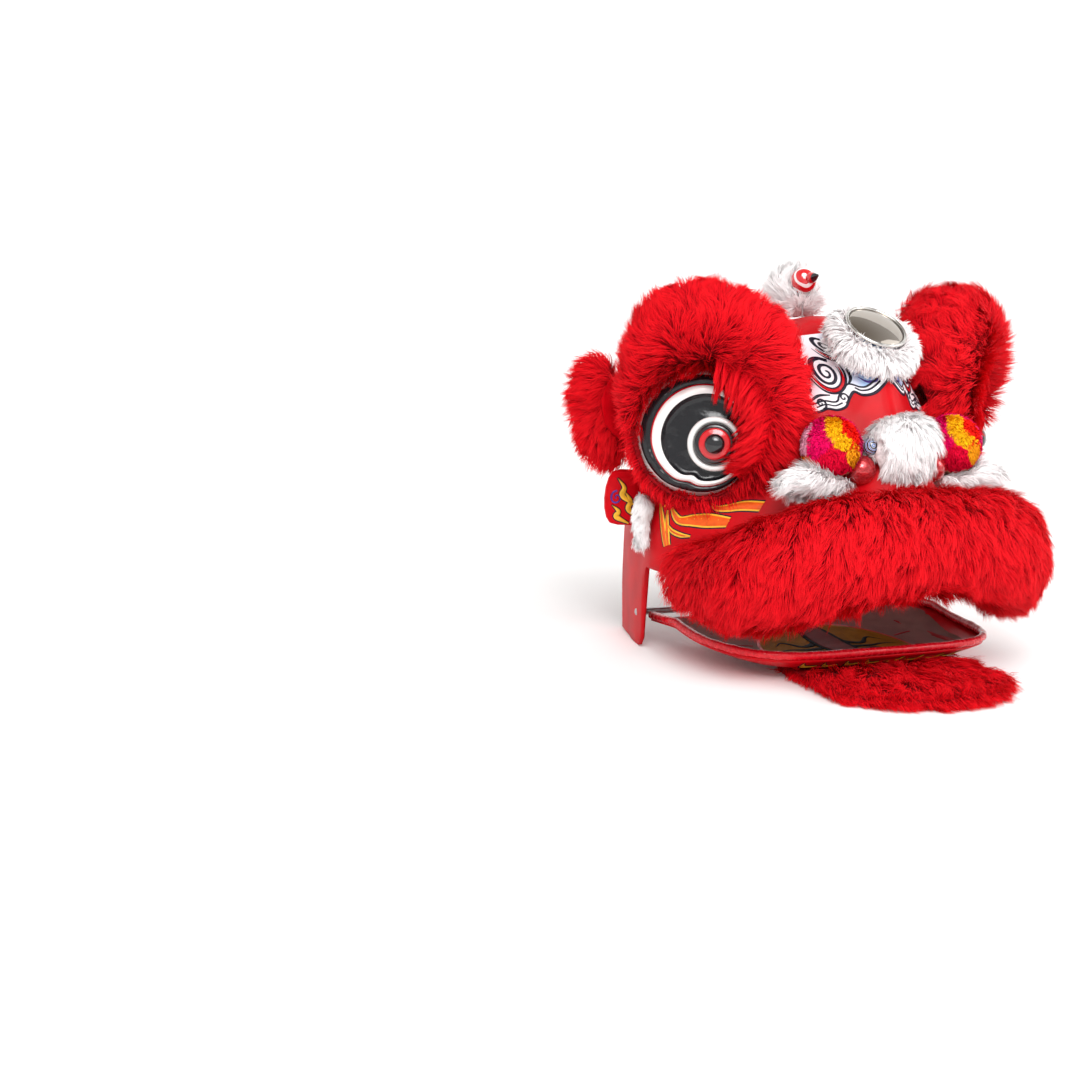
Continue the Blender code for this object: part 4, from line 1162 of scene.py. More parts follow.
@dataclass
class Shell:
    """The papier-mache shell with its smooth crown and cheeks."""

    wall: float = 0.003
    rear_y: float = 0.190
    front_y: float = -0.172
    height: float = 0.468
    half_width: float = 0.262
    board_middle: float = 0.172
    board_side: float = 0.118
    board_half: float = 0.240
    board_back: float = 0.070
    sections: Rows = (
        # along, foot, crown, w_foot, w_quarter, w_half, w_three
        (0.000, 0.300, 0.600, 0.42, 0.40, 0.34, 0.22),
        (0.110, 0.270, 0.755, 0.60, 0.50, 0.32, 0.18),
        (0.200, 0.250, 0.875, 0.74, 0.62, 0.40, 0.23),
        (0.335, 0.200, 0.965, 0.85, 0.80, 0.56, 0.38),
        (0.475, 0.150, 0.997, 0.92, 0.92, 0.73, 0.49),
        (0.610, 0.100, 1.000, 0.95, 0.97, 0.88, 0.64),
        (0.750, -0.030, 0.985, 0.91, 0.93, 0.90, 0.73),
        (0.880, -0.030, 0.950, 0.85, 0.88, 0.87, 0.73),
        (1.020, -0.030, 0.900, 0.78, 0.81, 0.80, 0.67),
    )

    def outline(self, row: np.ndarray) -> np.ndarray:
        """One section's points from foot to foot.

        Args:
            row: the section's shares.

        Returns:
            Its points in head coordinates.
        """
        along, foot, crown, *widths = row
        y = self.front_y + along * (self.rear_y - self.front_y)
        low, high = foot * self.height, crown * self.height
        half = [(w * self.half_width, low + (high - low) * k / 4) for k, w in enumerate(widths)]
        full = [(-x, z) for x, z in half] + [(0.0, high)] + [(x, z) for x, z in reversed(half)]
        line = spline(full, 7)
        floor = np.zeros(len(line))
        if y < self.board_back:
            share = np.minimum(1.0, (line[:, 0] / self.board_half) ** 2)
            floor = self.board_middle + (self.board_side - self.board_middle) * share
        return np.stack((line[:, 0], np.full(len(line), y), np.maximum(line[:, 1], floor + 0.0004)), 1)

    def build(self) -> bpy.types.Object:
        """Makes the shell.

        Returns:
            The finished shell.
        """
        rows = spline(self.sections, 6)
        lines = [self.outline(row) for row in rows if row[0] <= 1.0]
        last = np.array([np.interp(1.0, rows[:, 0], rows[:, k]) for k in range(rows.shape[1])])
        lines.append(self.outline(last))
        first = lines[0]
        middle = first.mean(axis=0)
        for share, forward in ((0.80, 0.005), (0.55, 0.008), (0.25, 0.0095), (0.02, 0.010)):
            lines.insert(0, middle + (first - middle) * share - np.array((0, forward, 0)))
        points = np.array(lines).reshape(-1, 3) + np.array((0, HEAD_Y, 0))
        shell = new_piece("painted_shell", points, grid_faces(len(lines), len(first), False))
        tidy_mesh(shell, 1e-4)
        if max(shell.data.polygons, key=lambda f: f.center.z).normal.z < 0:
            shell.data.flip_normals()
        wall = shell.modifiers.new("wall", "SOLIDIFY")
        wall.thickness = self.wall
        wall.offset = -1.0
        apply_all(shell)
        return dress(shell, RED_PAINT, Body.HEAD, "painted_shell", "head_shell")


class Panel(Enum):
    """The side that a brush comes from."""

    FRONT = (0, 1, 0)
    LEFT = (1, 0, 0)
    RIGHT = (-1, 0, 0)
    ABOVE = (0, 0, -1)


@dataclass
class Brush:
    """Lays raised lines of paint on a surface, by points that are seen from one side."""

    surface: BVHTree
    panel: Panel
    body: Body = Body.HEAD
    slot: str = "painted_shell"

    def drop(self, place: Sequence[float], lift: float) -> Vector | None:
        """Puts a point of the panel on the surface.

        Args:
            place: the two coordinates that the panel shows.
            lift: how far over the surface the paint lies.

        Returns:
            The point, or None beside the surface.
        """
        way = Vector(self.panel.value)
        if self.panel is Panel.FRONT:
            start = Vector((place[0], -BRUSH_REACH, place[1]))
        elif self.panel is Panel.ABOVE:
            start = Vector((place[0], place[1], BRUSH_HEIGHT))
        else:
            start = Vector((-way.x * BRUSH_REACH, place[0], place[1]))
        hit, normal, *_ = self.surface.ray_cast(start, way)
        if hit is None:
            return None
        if normal.dot(way) > 0:
            normal.negate()
        return hit + normal * lift

    def stroke(self, points: list, faces: list, path: Rows, lift: float, mirror: bool = False) -> None:
        """Adds one stroke to a mesh in the making.

        Args:
            points: the mesh's points.
            faces: the mesh's faces.
            path: two coordinates and the width of the stroke at each point.
            lift: how thick the paint is.
            mirror: whether it is drawn on the other side of the middle.
        """
        line = spline(path, 7)
        if mirror:
            line[:, 0] *= -1
        ahead = np.gradient(line[:, :2], axis=0)
        ahead /= np.maximum(np.linalg.norm(ahead, axis=1, keepdims=True), 1e-9)
        across = np.stack((-ahead[:, 1], ahead[:, 0]), 1)
        shares = (-0.5, -0.42, 0.0, 0.42, 0.5)
        rows = []
        for place, side in zip(line, across):
            wide = max(place[2], 0.0)
            row = []
            for k, share in enumerate(shares):
                edge = k in (0, len(shares) - 1)
                row.append(self.drop(place[:2] + side * share * wide, -PAINT_DIP if edge else lift))
            rows.append(row)
        for a, b in zip(rows, rows[1:]):
            for k in range(len(shares) - 1):
                corners = (a[k], a[k + 1], b[k + 1], b[k])
                if all(c is not None for c in corners):
                    start = len(points)
                    points += corners
                    faces.append((start, start + 1, start + 2, start + 3))

    def patch(self, name: str, outline: Rows, finish: Finish, lift: float) -> bpy.types.Object:
        """Paints a filled form of one colour.

        Args:
            name: the form's name.
            outline: the points round it, on the panel.
            finish: the paint.
            lift: how thick the paint is.

        Returns:
            The painted form.
        """
        rim = looped([(i * 360.0 / len(outline), *p) for i, p in enumerate(outline)], 8)[:, 1:]
        middle = rim.mean(axis=0)
        shares = (1.0, 0.985, 0.9, 0.75, 0.6, 0.45, 0.3, 0.15, 0.02)
        rings = []
        for share in shares:
            depth = -PAINT_DIP if share == 1.0 else lift
            rings.append([self.drop(middle + (p - middle) * share, depth) for p in rim])
        flat = [p for ring in rings for p in ring]
        faces = [f for f in grid_faces(len(shares), len(rim), True) if all(flat[i] is not None for i in f)]
        points = np.array([p if p is not None else Vector((0, 0, 0)) for p in flat])
        form = new_piece(name, points, faces)
        edit_mesh(form, bpy.ops.mesh.delete_loose)
        face_back(form, Vector(self.panel.value))
        return dress(form, finish, self.body, self.slot)

    def layer(
        self, name: str, strokes: Sequence[Rows], finish: Finish, lift: float, both: bool = False
    ) -> bpy.types.Object:
        """Paints some strokes of one colour.

        Args:
            name: the layer's name.
            strokes: the strokes.
            finish: the paint.
            lift: how thick the paint is.
            both: whether each stroke is mirrored over the middle too.

        Returns:
            The layer.
        """
        points: list[Vector] = []
        faces: list[tuple[int, ...]] = []
        for path in strokes:
            self.stroke(points, faces, path, lift)
            if both:
                self.stroke(points, faces, path, lift, True)
        layer = new_piece(name, np.array(points), faces)
        edit_mesh(layer, merged(PAINT_MERGE))
        face_back(layer, Vector(self.panel.value))
        return dress(layer, finish, self.body, self.slot)


def curl(
    middle: Sequence[float], radius: float, turns: float, start: float, width: float, squeeze: float = 0.7
) -> Rows:
    """A spiral stroke that runs in to its middle.

    Args:
        middle: its middle on the panel.
        radius: its outer radius.
        turns: how often it goes round.
        start: the angle that it starts at, in degrees.
        width: its width.
        squeeze: its breadth as a share of its height, because the panel turns away there.

    Returns:
        The stroke.
    """
    rows = []
    steps = int(abs(turns) * 12)
    for i in range(steps + 1):
        share = i / steps
        angle = math.radians(start) + 2 * math.pi * turns * share
        reach = radius * (1 - 0.9 * share)
        across, up = reach * math.cos(angle) * squeeze, reach * math.sin(angle)
        rows.append((middle[0] + across, middle[1] + up, width * (1 - 0.45 * share)))
    return rows


def shifted(path: Rows, up: float, width: float) -> Rows:
    """A stroke beside another one.

    Args:
        path: the other stroke.
        up: how far it is shifted to its left, seen along its way.
        width: its own width.

    Returns:
        The stroke.
    """
    line = np.array(path, float)
    ahead = np.gradient(line[:, :2], axis=0)
    ahead /= np.maximum(np.linalg.norm(ahead, axis=1, keepdims=True), 1e-9)
    across = np.stack((-ahead[:, 1], ahead[:, 0]), 1)
    return np.column_stack((line[:, :2] + across * up, np.full(len(line), width))).tolist()


def wider(path: Rows, extra: float) -> Rows:
    """The same stroke with a steady change in its width.

    Args:
        path: the stroke.
        extra: how much wider it is.

    Returns:
        The stroke.
    """
    return [(x, z, max(0.0, w + extra if w > 0 else max(0.0, extra))) for x, z, w in path]


@dataclass
class ForeheadPaint:
    """Cloud scrolls over a plain red field, the same on both sides."""

    shell: bpy.types.Object
    border: Rows = (
        # across, up, width of the line, from the peak down to the side
        (0.0000, 0.4010, 0.0030),
        (-0.0080, 0.3935, 0.0034),
        (-0.0220, 0.3816, 0.0036),
        (-0.0344, 0.3778, 0.0036),
        (-0.0428, 0.3809, 0.0034),
        (-0.0500, 0.3700, 0.0030),
        (-0.0545, 0.3610, 0.0030),
        (-0.0640, 0.3560, 0.0030),
        (-0.0740, 0.3565, 0.0030),
        (-0.0830, 0.3520, 0.0030),
        (-0.0905, 0.3500, 0.0030),
        (-0.1000, 0.3460, 0.0030),
    )

    def build(self) -> None:
        """Paints the panel."""
        brush = Brush(tree_of(self.shell), Panel.FRONT)
        self.ground(brush)
        self.scrolls(brush)

    def ground(self, brush: Brush) -> None:
        """Lays the pale ground over the border.

        Args:
            brush: the brush.
        """
        ground_points: list[Vector] = []
        ground_faces: list[tuple[int, ...]] = []
        line = spline(self.border, 6)
        top = np.interp(-line[:, 0], (0.0, 0.04, 0.07, 0.10), (0.448, 0.450, 0.440, 0.415))
        rises = np.linspace(0, 1, 22)
        for mirror in (1, -1):
            start = len(ground_points)
            grid = []
            for (x, z, _), edge in zip(line, top):
                grid.append([brush.drop((x * mirror, z + (edge - z) * rise), 0.00025) for rise in rises])
            ground_points += [p if p is not None else Vector((0, 0, 0)) for row in grid for p in row]
            for a, b, c, d in grid_faces(len(grid), len(rises), False):
                cells = [grid[n // len(rises)][n % len(rises)] for n in (a, b, c, d)]
                if all(p is not None for p in cells):
                    ground_faces.append(tuple(start + n for n in (a, b, c, d)))
        ground = new_piece("forehead_ground", np.array(ground_points), ground_faces)
        edit_mesh(ground, merged(PAINT_MERGE), bpy.ops.mesh.delete_loose)
        face_back(ground, Vector(Panel.FRONT.value))
        dress(ground, SkyFinish("sky and rose paint"), Body.HEAD, "painted_shell")

    def scrolls(self, brush: Brush) -> None:
        """Paints the scrolls in layers.

        Args:
            brush: the brush.
        """
        big, small = (-0.0645, 0.4017), (-0.0518, 0.4335)
        knot, tail = (-0.0545, 0.3724), (-0.0797, 0.3624)
        discs = []
        for (x, z), radius in ((big, 0.018), (small, 0.009)):
            discs.append([(x - 0.003, z, 0.017), (x, z, radius * 2), (x + 0.003, z, 0.017)])
        red_arcs = [
            self.arc(big, 0.0215, -170, 25, 0.0050),
            self.arc(small, 0.0125, -160, 20, 0.0036),
        ]
        brush.layer("scroll_discs", discs, SNOW, 0.0005, True)
        brush.layer("scroll_crescents", red_arcs, SCARLET, 0.0006, True)
        lines = [
            self.border,
            shifted(self.border, -0.0098, 0.0024),
            [(x, z, w * 0.9) for x, z, w in shifted(self.border[1:5], -0.0056, 0.0026)],
            [(x, z, w * 0.8) for x, z, w in shifted(self.border[6:10], -0.0052, 0.0024)],
            curl(big, 0.0175, 2.1, 60, 0.0042),
            curl(small, 0.0090, 1.7, 60, 0.0030),
            curl(knot, 0.0070, 1.3, -80, 0.0030, 0.8),
            curl(tail, 0.0074, 1.3, -80, 0.0030, 0.8),
            self.arc(big, 0.0252, -175, 60, 0.0032),
            self.arc(big, 0.0190, -175, 30, 0.0022),
            self.arc(small, 0.0155, -165, 40, 0.0024),
            self.arc(small, 0.0104, -165, 25, 0.0018),
            [
                (-0.0395, 0.4260, 0.0008),
                (-0.0430, 0.4130, 0.0030),
                (-0.0420, 0.3990, 0.0036),
                (-0.0460, 0.3900, 0.0020),
            ],
            [
                (-0.0680, 0.3740, 0.0014),
                (-0.0800, 0.3720, 0.0034),
                (-0.0900, 0.3640, 0.0024),
                (-0.0960, 0.3600, 0.0008),
            ],
            [(-0.0920, 0.3900, 0.0010), (-0.0860, 0.3790, 0.0030), (-0.0930, 0.3700, 0.0016)],
        ]
        brush.layer("scroll_lines", lines, INK, 0.0008, True)
        blues = [
            [
                (-0.0090, 0.4050, 0.0006),
                (-0.0160, 0.3980, 0.0034),
                (-0.0260, 0.3950, 0.0030),
                (-0.0345, 0.4000, 0.0005),
            ],
            [
                (-0.0120, 0.4110, 0.0005),
                (-0.0190, 0.4040, 0.0028),
                (-0.0280, 0.4030, 0.0022),
                (-0.0350, 0.4090, 0.0004),
            ],
            [
                (-0.0140, 0.4170, 0.0004),
                (-0.0190, 0.4110, 0.0022),
                (-0.0260, 0.4100, 0.0018),
                (-0.0310, 0.4150, 0.0004),
            ],
            [
                (-0.0330, 0.4180, 0.0004),
                (-0.0300, 0.4110, 0.0018),
                (-0.0330, 0.4050, 0.0016),
                (-0.0385, 0.4020, 0.0004),
            ],
            [(-0.0560, 0.4200, 0.0005), (-0.0450, 0.4270, 0.0024), (-0.0330, 0.4250, 0.0005)],
        ]
        brush.layer("scroll_feathers", blues, VIOLET, 0.0006, True)
        pales = [shifted(self.border, -0.0050, 0.0090)]
        brush.layer("scroll_edge", pales, SNOW, 0.0005, True)

    @staticmethod
    def arc(middle: Sequence[float], radius: float, start: float, end: float, width: float) -> Rows:
        """A crescent stroke round a point.

        Args:
            middle: the point on the panel.
            radius: its radius.
            start: its first angle in degrees.
            end: its last angle.
            width: its greatest width.

        Returns:
            The stroke.
        """
        rows = []
        for i in range(13):
            share = i / 12
            angle = math.radians(start + (end - start) * share)
            rows.append(
                (
                    middle[0] + radius * math.cos(angle) * 0.7,
                    middle[1] + radius * math.sin(angle),
                    width * math.sin(math.pi * (0.06 + 0.88 * share)),
                )
            )
        return rows


@dataclass(frozen=True)
class SkyFinish(Finish):
    """Pale blue that fades to white and rose towards the sides."""

    def mix(self, graph: Graph, shader: bpy.types.Node) -> None:
        """Feeds the shader.

        Args:
            graph: the material's nodes.
            shader: its Principled shader.
        """
        place = graph.place()
        parts = graph.add("SeparateXYZ", {0: place})
        side = graph.add("Math", {0: parts.outputs["X"]}, operation="ABSOLUTE")
        noise = graph.add("TexNoise", {"Vector": place}, {"Scale": 45.0})
        feeds = {0: noise.outputs["Fac"], 2: side.outputs[0]}
        spread = graph.add("Math", feeds, {1: 0.022}, operation="MULTIPLY_ADD")
        stops = (
            (0.012, 0.30, 0.50, 0.88),
            (0.040, 0.38, 0.58, 0.90),
            (0.060, 0.88, 0.88, 0.95),
            (0.080, 0.90, 0.80, 0.84),
            (0.100, 0.88, 0.55, 0.60),
        )
        graph.feed(shader, {"Base Color": graph.ramp(spread.outputs[0], stops)})
        fill(shader, {"Base Color": (0.8, 0.85, 0.95, 1), "Roughness": 0.36, "Specular IOR Level": 0.22})


@dataclass
class CheekPaint:
    """Flames on the cheeks, drawn from the side."""

    shell: bpy.types.Object
    flames: Sequence[Rows] = (
        # back to front, up, width of the flame
        (
            (0.0985, 0.2090, 0.0),
            (0.0905, 0.1995, 0.0060),
            (0.0790, 0.1930, 0.0095),
            (0.0600, 0.1965, 0.0155),
            (0.0420, 0.1990, 0.0180),
            (0.0180, 0.2010, 0.0120),
        ),
        (
            (0.0505, 0.2210, 0.0),
            (0.0405, 0.2160, 0.0050),
            (0.0290, 0.2180, 0.0090),
            (0.0140, 0.2235, 0.0120),
            (-0.004, 0.2255, 0.012),
        ),
        ((0.0950, 0.1840, 0.0), (0.0860, 0.1775, 0.0042), (0.0710, 0.1745, 0.0045), (0.0560, 0.1755, 0.0)),
        (
            (0.0900, 0.1560, 0.0065),
            (0.1010, 0.1770, 0.0075),
            (0.1110, 0.1960, 0.0055),
            (0.1215, 0.2150, 0.0),
        ),
        (
            (0.0860, 0.1580, 0.0050),
            (0.0930, 0.1740, 0.0060),
            (0.0985, 0.1890, 0.0040),
            (0.1020, 0.2030, 0.0),
        ),
    )
    dots: Sequence[tuple[float, float]] = ((0.1085, 0.2080),)

    def build(self) -> None:
        """Paints both cheeks."""
        tree = tree_of(self.shell)
        for (_, ending), panel in zip(SIDES, (Panel.LEFT, Panel.RIGHT)):
            brush = Brush(tree, panel)
            brush.layer(f"flame_outline_{ending}", [wider(f, 0.0060) for f in self.flames], INK, 0.0003)
            brush.layer(f"flame_edge_{ending}", [wider(f, 0.0024) for f in self.flames], GOLD, 0.0006)
            brush.layer(f"flame_body_{ending}", [wider(f, -0.0018) for f in self.flames], FLAME, 0.0009)
            spots = [[(y - 0.0012, z, 0.0), (y, z, 0.0034), (y + 0.0012, z, 0.0)] for y, z in self.dots]
            body = np.array(spline(self.flames[0][2:], 6))
            for y, z, w in body[::3]:
                high = z + w * 0.12
                spots.append([(y - 0.0006, high, 0.0), (y, high, 0.0013), (y + 0.0006, high, 0.0)])
            brush.layer(f"flame_dots_{ending}", spots, GOLD, 0.0012)


# Eyes


@dataclass(frozen=True)
class EyePlateFinish(Finish):
    """Formed gloss plate with its painted bands, which follow the band attribute."""

    def mix(self, graph: Graph, shader: bpy.types.Node) -> None:
        """Feeds the shader.

        Args:
            graph: the material's nodes.
            shader: its Principled shader.
        """
        black, white, red = (0.010, 0.010, 0.012), (0.84, 0.82, 0.80), (0.60, 0.01, 0.02)
        stops = ((0.0, *black), (0.60, *white), (0.755, *red), (0.78, *black), (0.965, *white))
        band = graph.add("Attribute", attribute_name="band")
        graph.feed(shader, {"Base Color": graph.ramp(band.outputs["Fac"], stops, True)})
        place = graph.place()
        crease = graph.add("TexVoronoi", {"Vector": place}, {"Scale": 55.0}, feature="SMOOTH_F1")
        wave = graph.add("TexNoise", {"Vector": place}, {"Scale": 40.0})
        both = graph.add("Math", {0: crease.outputs["Distance"], 1: wave.outputs["Fac"]}, operation="ADD")
        graph.bump(both.outputs[0], shader, 0.0035, 0.7)
        fill(shader, {"Base Color": rgba(black), "Roughness": 0.16, "Specular IOR Level": 0.25})
        fill(shader, {"Coat Weight": 0.35, "Coat Roughness": 0.04})


@dataclass
class Eye:
    """A formed plate with a stepped round eye on it."""

    side: int
    ending: str
    place: tuple[float, float, float] = (0.203, -0.006, 0.300)
    out_deg: float = 34.0
    up_deg: float = 8.0
    reach: float = 0.230
    crown: float = 0.016
    sections: Rows = (
        # angle from the inner side, radius of the opening as a share of the reach
        (0.0, 0.19),
        (35.0, 0.24),
        (62.0, 0.31),
        (90.0, 0.375),
        (118.0, 0.415),
        (146.0, 0.435),
        (180.0, 0.425),
        (215.0, 0.365),
        (250.0, 0.290),
        (290.0, 0.240),
        (325.0, 0.200),
    )
    profile: Rows = (
        # share of the way out to the edge, height as a share of the crown
        (0.00, 1.00),
        (0.12, 0.84),
        (0.30, 0.70),
        (0.50, 0.72),
        (0.59, 0.98),
        (0.67, 1.14),
        (0.74, 0.98),
        (0.79, 0.72),
        (0.86, 0.74),
        (0.93, 0.58),
        (0.97, 0.35),
        (1.08, -0.30),
    )

    def frame(self) -> Matrix:
        """The eye's own axes: Z looks out, X runs to the nose.

        Returns:
            The matrix from these axes to the frame's.
        """
        out, up = math.radians(self.out_deg), math.radians(self.up_deg)
        normal = (self.side * math.sin(out) * math.cos(up), -math.cos(out) * math.cos(up), math.sin(up))
        inner = (-self.side * math.cos(out), -math.sin(out), 0.0)
        x, y, z = self.place
        return place_at((self.side * x, y + HEAD_Y, z), normal, inner)

    def plate(self) -> None:
        """The formed plate with its white band."""
        rows = looped(self.sections, 9)
        profile = spline(self.profile, 4)
        place = self.frame()
        inner = 0.026
        points, band = [], []
        for share, height in profile:
            for angle, radius in rows:
                turn = math.radians(angle)
                edge = radius * self.reach + 0.005
                notch = 0.30 * math.exp(-(((angle - 240) / 8.0) ** 2)) * math.sin(math.pi * min(1.0, share))
                out = inner + (edge - inner) * (share - notch * 0.35)
                up = math.sin(turn) * out * (1 if self.side < 0 else -1)
                points.append(place @ Vector((math.cos(turn) * out, up, height * self.crown)))
                band.append(share)
        faces = grid_faces(len(profile), len(rows), True)
        faces.append(tuple(range(len(rows))))
        plate = new_piece(f"eye_shield_{self.ending}", np.array(points), faces)
        values = plate.data.attributes.new("band", "FLOAT", "POINT")
        values.data.foreach_set("value", np.array(band, np.float32))
        activate(plate)
        bpy.ops.object.shade_smooth()
        if plate.data.polygons[0].normal.dot(place.to_3x3() @ Vector((0, 0, 1))) < 0:
            plate.data.flip_normals()
        dress(plate, EyePlateFinish("formed eye plate"), Body.HEAD, "eye_black", f"eye_plate_{self.ending}")

    def turned_parts(self) -> None:
        """The white ring, the black dome, the red disc and the bead in the middle."""
        seat = self.crown + 0.0003
        inside = ((0.0285, 0.0060), (0.0285, 0))
        crest = ((0.0367, 0.003), (0.0355, 0.0062), (0.0330, 0.0080), (0.0305, 0.0075))
        ring = ((0.0285, 0), (0.037, 0), *crest, *inside)
        shoulder = ((0.0278, 0.010), (0.0270, 0.0135), (0.0250, 0.0156), (0.0226, 0.0160))
        dome = ((0, 0), (0.0278, 0), *shoulder, (0, 0.0160))
        iris = ((0, 0), (0.0215, 0), (0.0214, 0.0025), (0.0205, 0.0050), (0.0188, 0.0060), (0, 0.0060))
        round_edge = ((0.0134, 0.0028), (0.0122, 0.0060), (0.0098, 0.0084), (0.0060, 0.0098))
        bead = ((0, 0), (0.0136, 0), *round_edge, (0, 0.0103))
        rows = (
            ("eye_white_rim", ring, seat, WHITE_GLOSS, "eye_white", "eye_ring"),
            ("eye_black_step", dome, seat, BLACK_GLOSS, "eye_black", "eye_dome"),
            ("eye_red_disc", iris, seat + 0.0163, RED_GLOSS, "eye_red", "eye_iris"),
            ("eye_pupil", bead, seat + 0.0226, BLACK_GLOSS, "eye_black", "eye_bead"),
        )
        for name, profile, height, finish, slot, node in rows:
            place = self.frame() @ Matrix.Translation((0, 0, height))
            part = spun(f"{name}_{self.ending}", profile, place, 64)
            dress(part, finish, Body.HEAD, slot, f"{node}_{self.ending}")

    def build(self) -> None:
        """Makes the eye."""
        self.plate()
        self.turned_parts()


# Nose and trims


@dataclass(frozen=True)
class YarnDyeAndShadeFinish(Finish):
    """Yarn whose dye, with painted shade and painted light laid over it, is kept in an attribute."""

    def mix(self, graph: Graph, shader: bpy.types.Node) -> None:
        """Feeds the shader.

        Args:
            graph: the material's nodes.
            shader: its Principled shader.
        """
        dye = graph.add("Attribute", attribute_name="dye")
        graph.feed(shader, {"Base Color": dye.outputs["Color"]})
        fill(shader, {"Base Color": (0.7, 0.05, 0.1, 1), "Roughness": 0.75, "Specular IOR Level": 0.08})


@dataclass
class Pompom:
    """A dense ball of cut yarn in patches of dye."""

    side: int
    ending: str
    middle: tuple[float, float, float] = (0.101, -0.128, 0.314)
    radius: float = 0.041
    strands: int = 11000
    patches: Rows = (
        # across to the viewer's right, towards the viewer, up, size, red, green, blue
        (-0.10, 0.70, 0.75, 0.55, 1.00, 0.52, 0.006),
        (0.30, 0.85, 0.30, 0.45, 1.00, 0.52, 0.006),
        (0.62, 0.75, -0.20, 0.45, 1.00, 0.40, 0.010),
        (0.55, 0.60, 0.60, 0.60, 0.96, 0.012, 0.006),
        (0.05, 0.80, -0.45, 0.80, 0.86, 0.002, 0.040),
        (-0.60, 0.75, 0.15, 0.62, 0.88, 0.002, 0.12),
        (-0.45, 0.60, 0.70, 0.45, 0.80, 0.002, 0.12),
        (-1.00, 0.35, 0.10, 0.45, 0.88, 0.38, 0.52),
        (-0.75, 0.35, -0.55, 0.35, 0.92, 0.16, 0.010),
        (0.00, 0.10, -1.00, 0.50, 0.90, 0.50, 0.30),
        (0.95, -0.10, 0.10, 0.60, 0.80, 0.02, 0.16),
        (0.20, -0.60, 0.75, 0.70, 0.80, 0.002, 0.12),
        (-0.30, -0.95, -0.10, 0.80, 1.00, 0.52, 0.006),
        (0.50, -0.55, -0.65, 0.60, 0.80, 0.004, 0.060),
    )

    def dyes(self, ways: np.ndarray) -> np.ndarray:
        """The dye at each direction from the ball's middle.

        Args:
            ways: directions of length 1.

        Returns:
            Red, green, blue and cover.
        """
        table = np.array(self.patches)
        yaw = -math.radians(Studio.yaw_deg)
        right = np.array((math.cos(yaw), math.sin(yaw), 0.0))
        front = np.array((math.sin(yaw), -math.cos(yaw), 0.0))
        view = np.stack((ways @ right * (1 if self.side < 0 else 1), ways @ front, ways[:, 2]), 1)
        wobble = 0.10 * np.sin(view @ (9.0, 7.0, 11.0)) + 0.07 * np.sin(view @ (-17.0, 13.0, 19.0))
        centres = unit(table[:, :3])
        far = np.linalg.norm(view[:, None, :] - centres[None], axis=2) - table[None, :, 3] * 0.8
        far += wobble[:, None] * np.cos(np.arange(len(table)) * 2.1)[None]
        chosen = far.argmin(axis=1)
        return np.column_stack((table[chosen, 4:7], np.ones(len(ways))))

    def build(self) -> None:
        """Makes the ball and its pile."""
        x, y, z = self.middle
        centre = np.array((self.side * x, y + HEAD_Y, z))
        core = ball(f"pompom_core_{self.ending}", centre, self.radius - 0.003, 40, 24)
        points = np.array([tuple(v.co) for v in core.data.vertices])
        colours = self.dyes(unit(points - centre))
        # The core under the pile is darkened, as painted shade.
        colours[:, :3] *= 0.80
        dye = core.data.attributes.new("dye", "FLOAT_COLOR", "POINT")
        dye.data.foreach_set("color", colours.astype(np.float32).ravel())
        dress(core, YarnDyeAndShadeFinish("dyed yarn with painted shade"), Body.HEAD, "yarn", f"pompom_{self.ending}")
        pile = Pile(
            f"pompom_pile_{self.ending}",
            self.strands,
            0.0062,
            away_from((0, 0, 0.9)),
            thick=0.0017,
            upright=0.93,
            droop=0.0,
            ruffle=0.2,
            pull=0.25,
            per_lock=8.0,
            toss=0.10,
            seed=91 + self.side,
        )
        yarn = pile.grow(core)
        ends = np.empty(len(yarn.data.vertices) * 3)
        yarn.data.vertices.foreach_get("co", ends)
        ends = ends.reshape(-1, 5, 3)
        colours = np.repeat(self.dyes(unit(ends[:, 0] - centre)), 5, axis=0)
        rng = np.random.default_rng(7)
        shade = np.repeat(0.80 + 0.35 * rng.random(self.strands), 5)
        # Darker at the root and brighter at the tip, as painted shade and painted light; the random factor
        # above is the yarn's own tone.
        shade *= np.tile((0.9, 0.9, 1.0, 1.0, 1.1), self.strands)
        colours[:, :3] *= shade[:, None]
        dye = yarn.data.attributes.new("dye", "FLOAT_COLOR", "POINT")
        dye.data.foreach_set("color", colours.astype(np.float32).ravel())
        dress(yarn, YarnDyeAndShadeFinish("dyed yarn with painted shade"), Body.HEAD, "yarn")


@dataclass(frozen=True)
class GlitterFinish(Finish):
    """Red gloss with sparkling grains."""

    def mix(self, graph: Graph, shader: bpy.types.Node) -> None:
        """Feeds the shader.

        Args:
            graph: the material's nodes.
            shader: its Principled shader.
        """
        grain = graph.add("TexVoronoi", {"Vector": graph.place()}, {"Scale": 900.0}).outputs["Color"]
        colour = graph.ramp(grain, ((0.0, 0.30, 0.0, 0.006), (1.0, 0.85, 0.05, 0.06)))
        graph.feed(shader, {"Base Color": colour})
        graph.bump(grain, shader, 0.0012)
        fill(shader, {"Base Color": (0.5, 0.01, 0.02, 1), "Metallic": 0.45})
        fill(shader, {"Roughness": 0.22, "Coat Weight": 0.8})


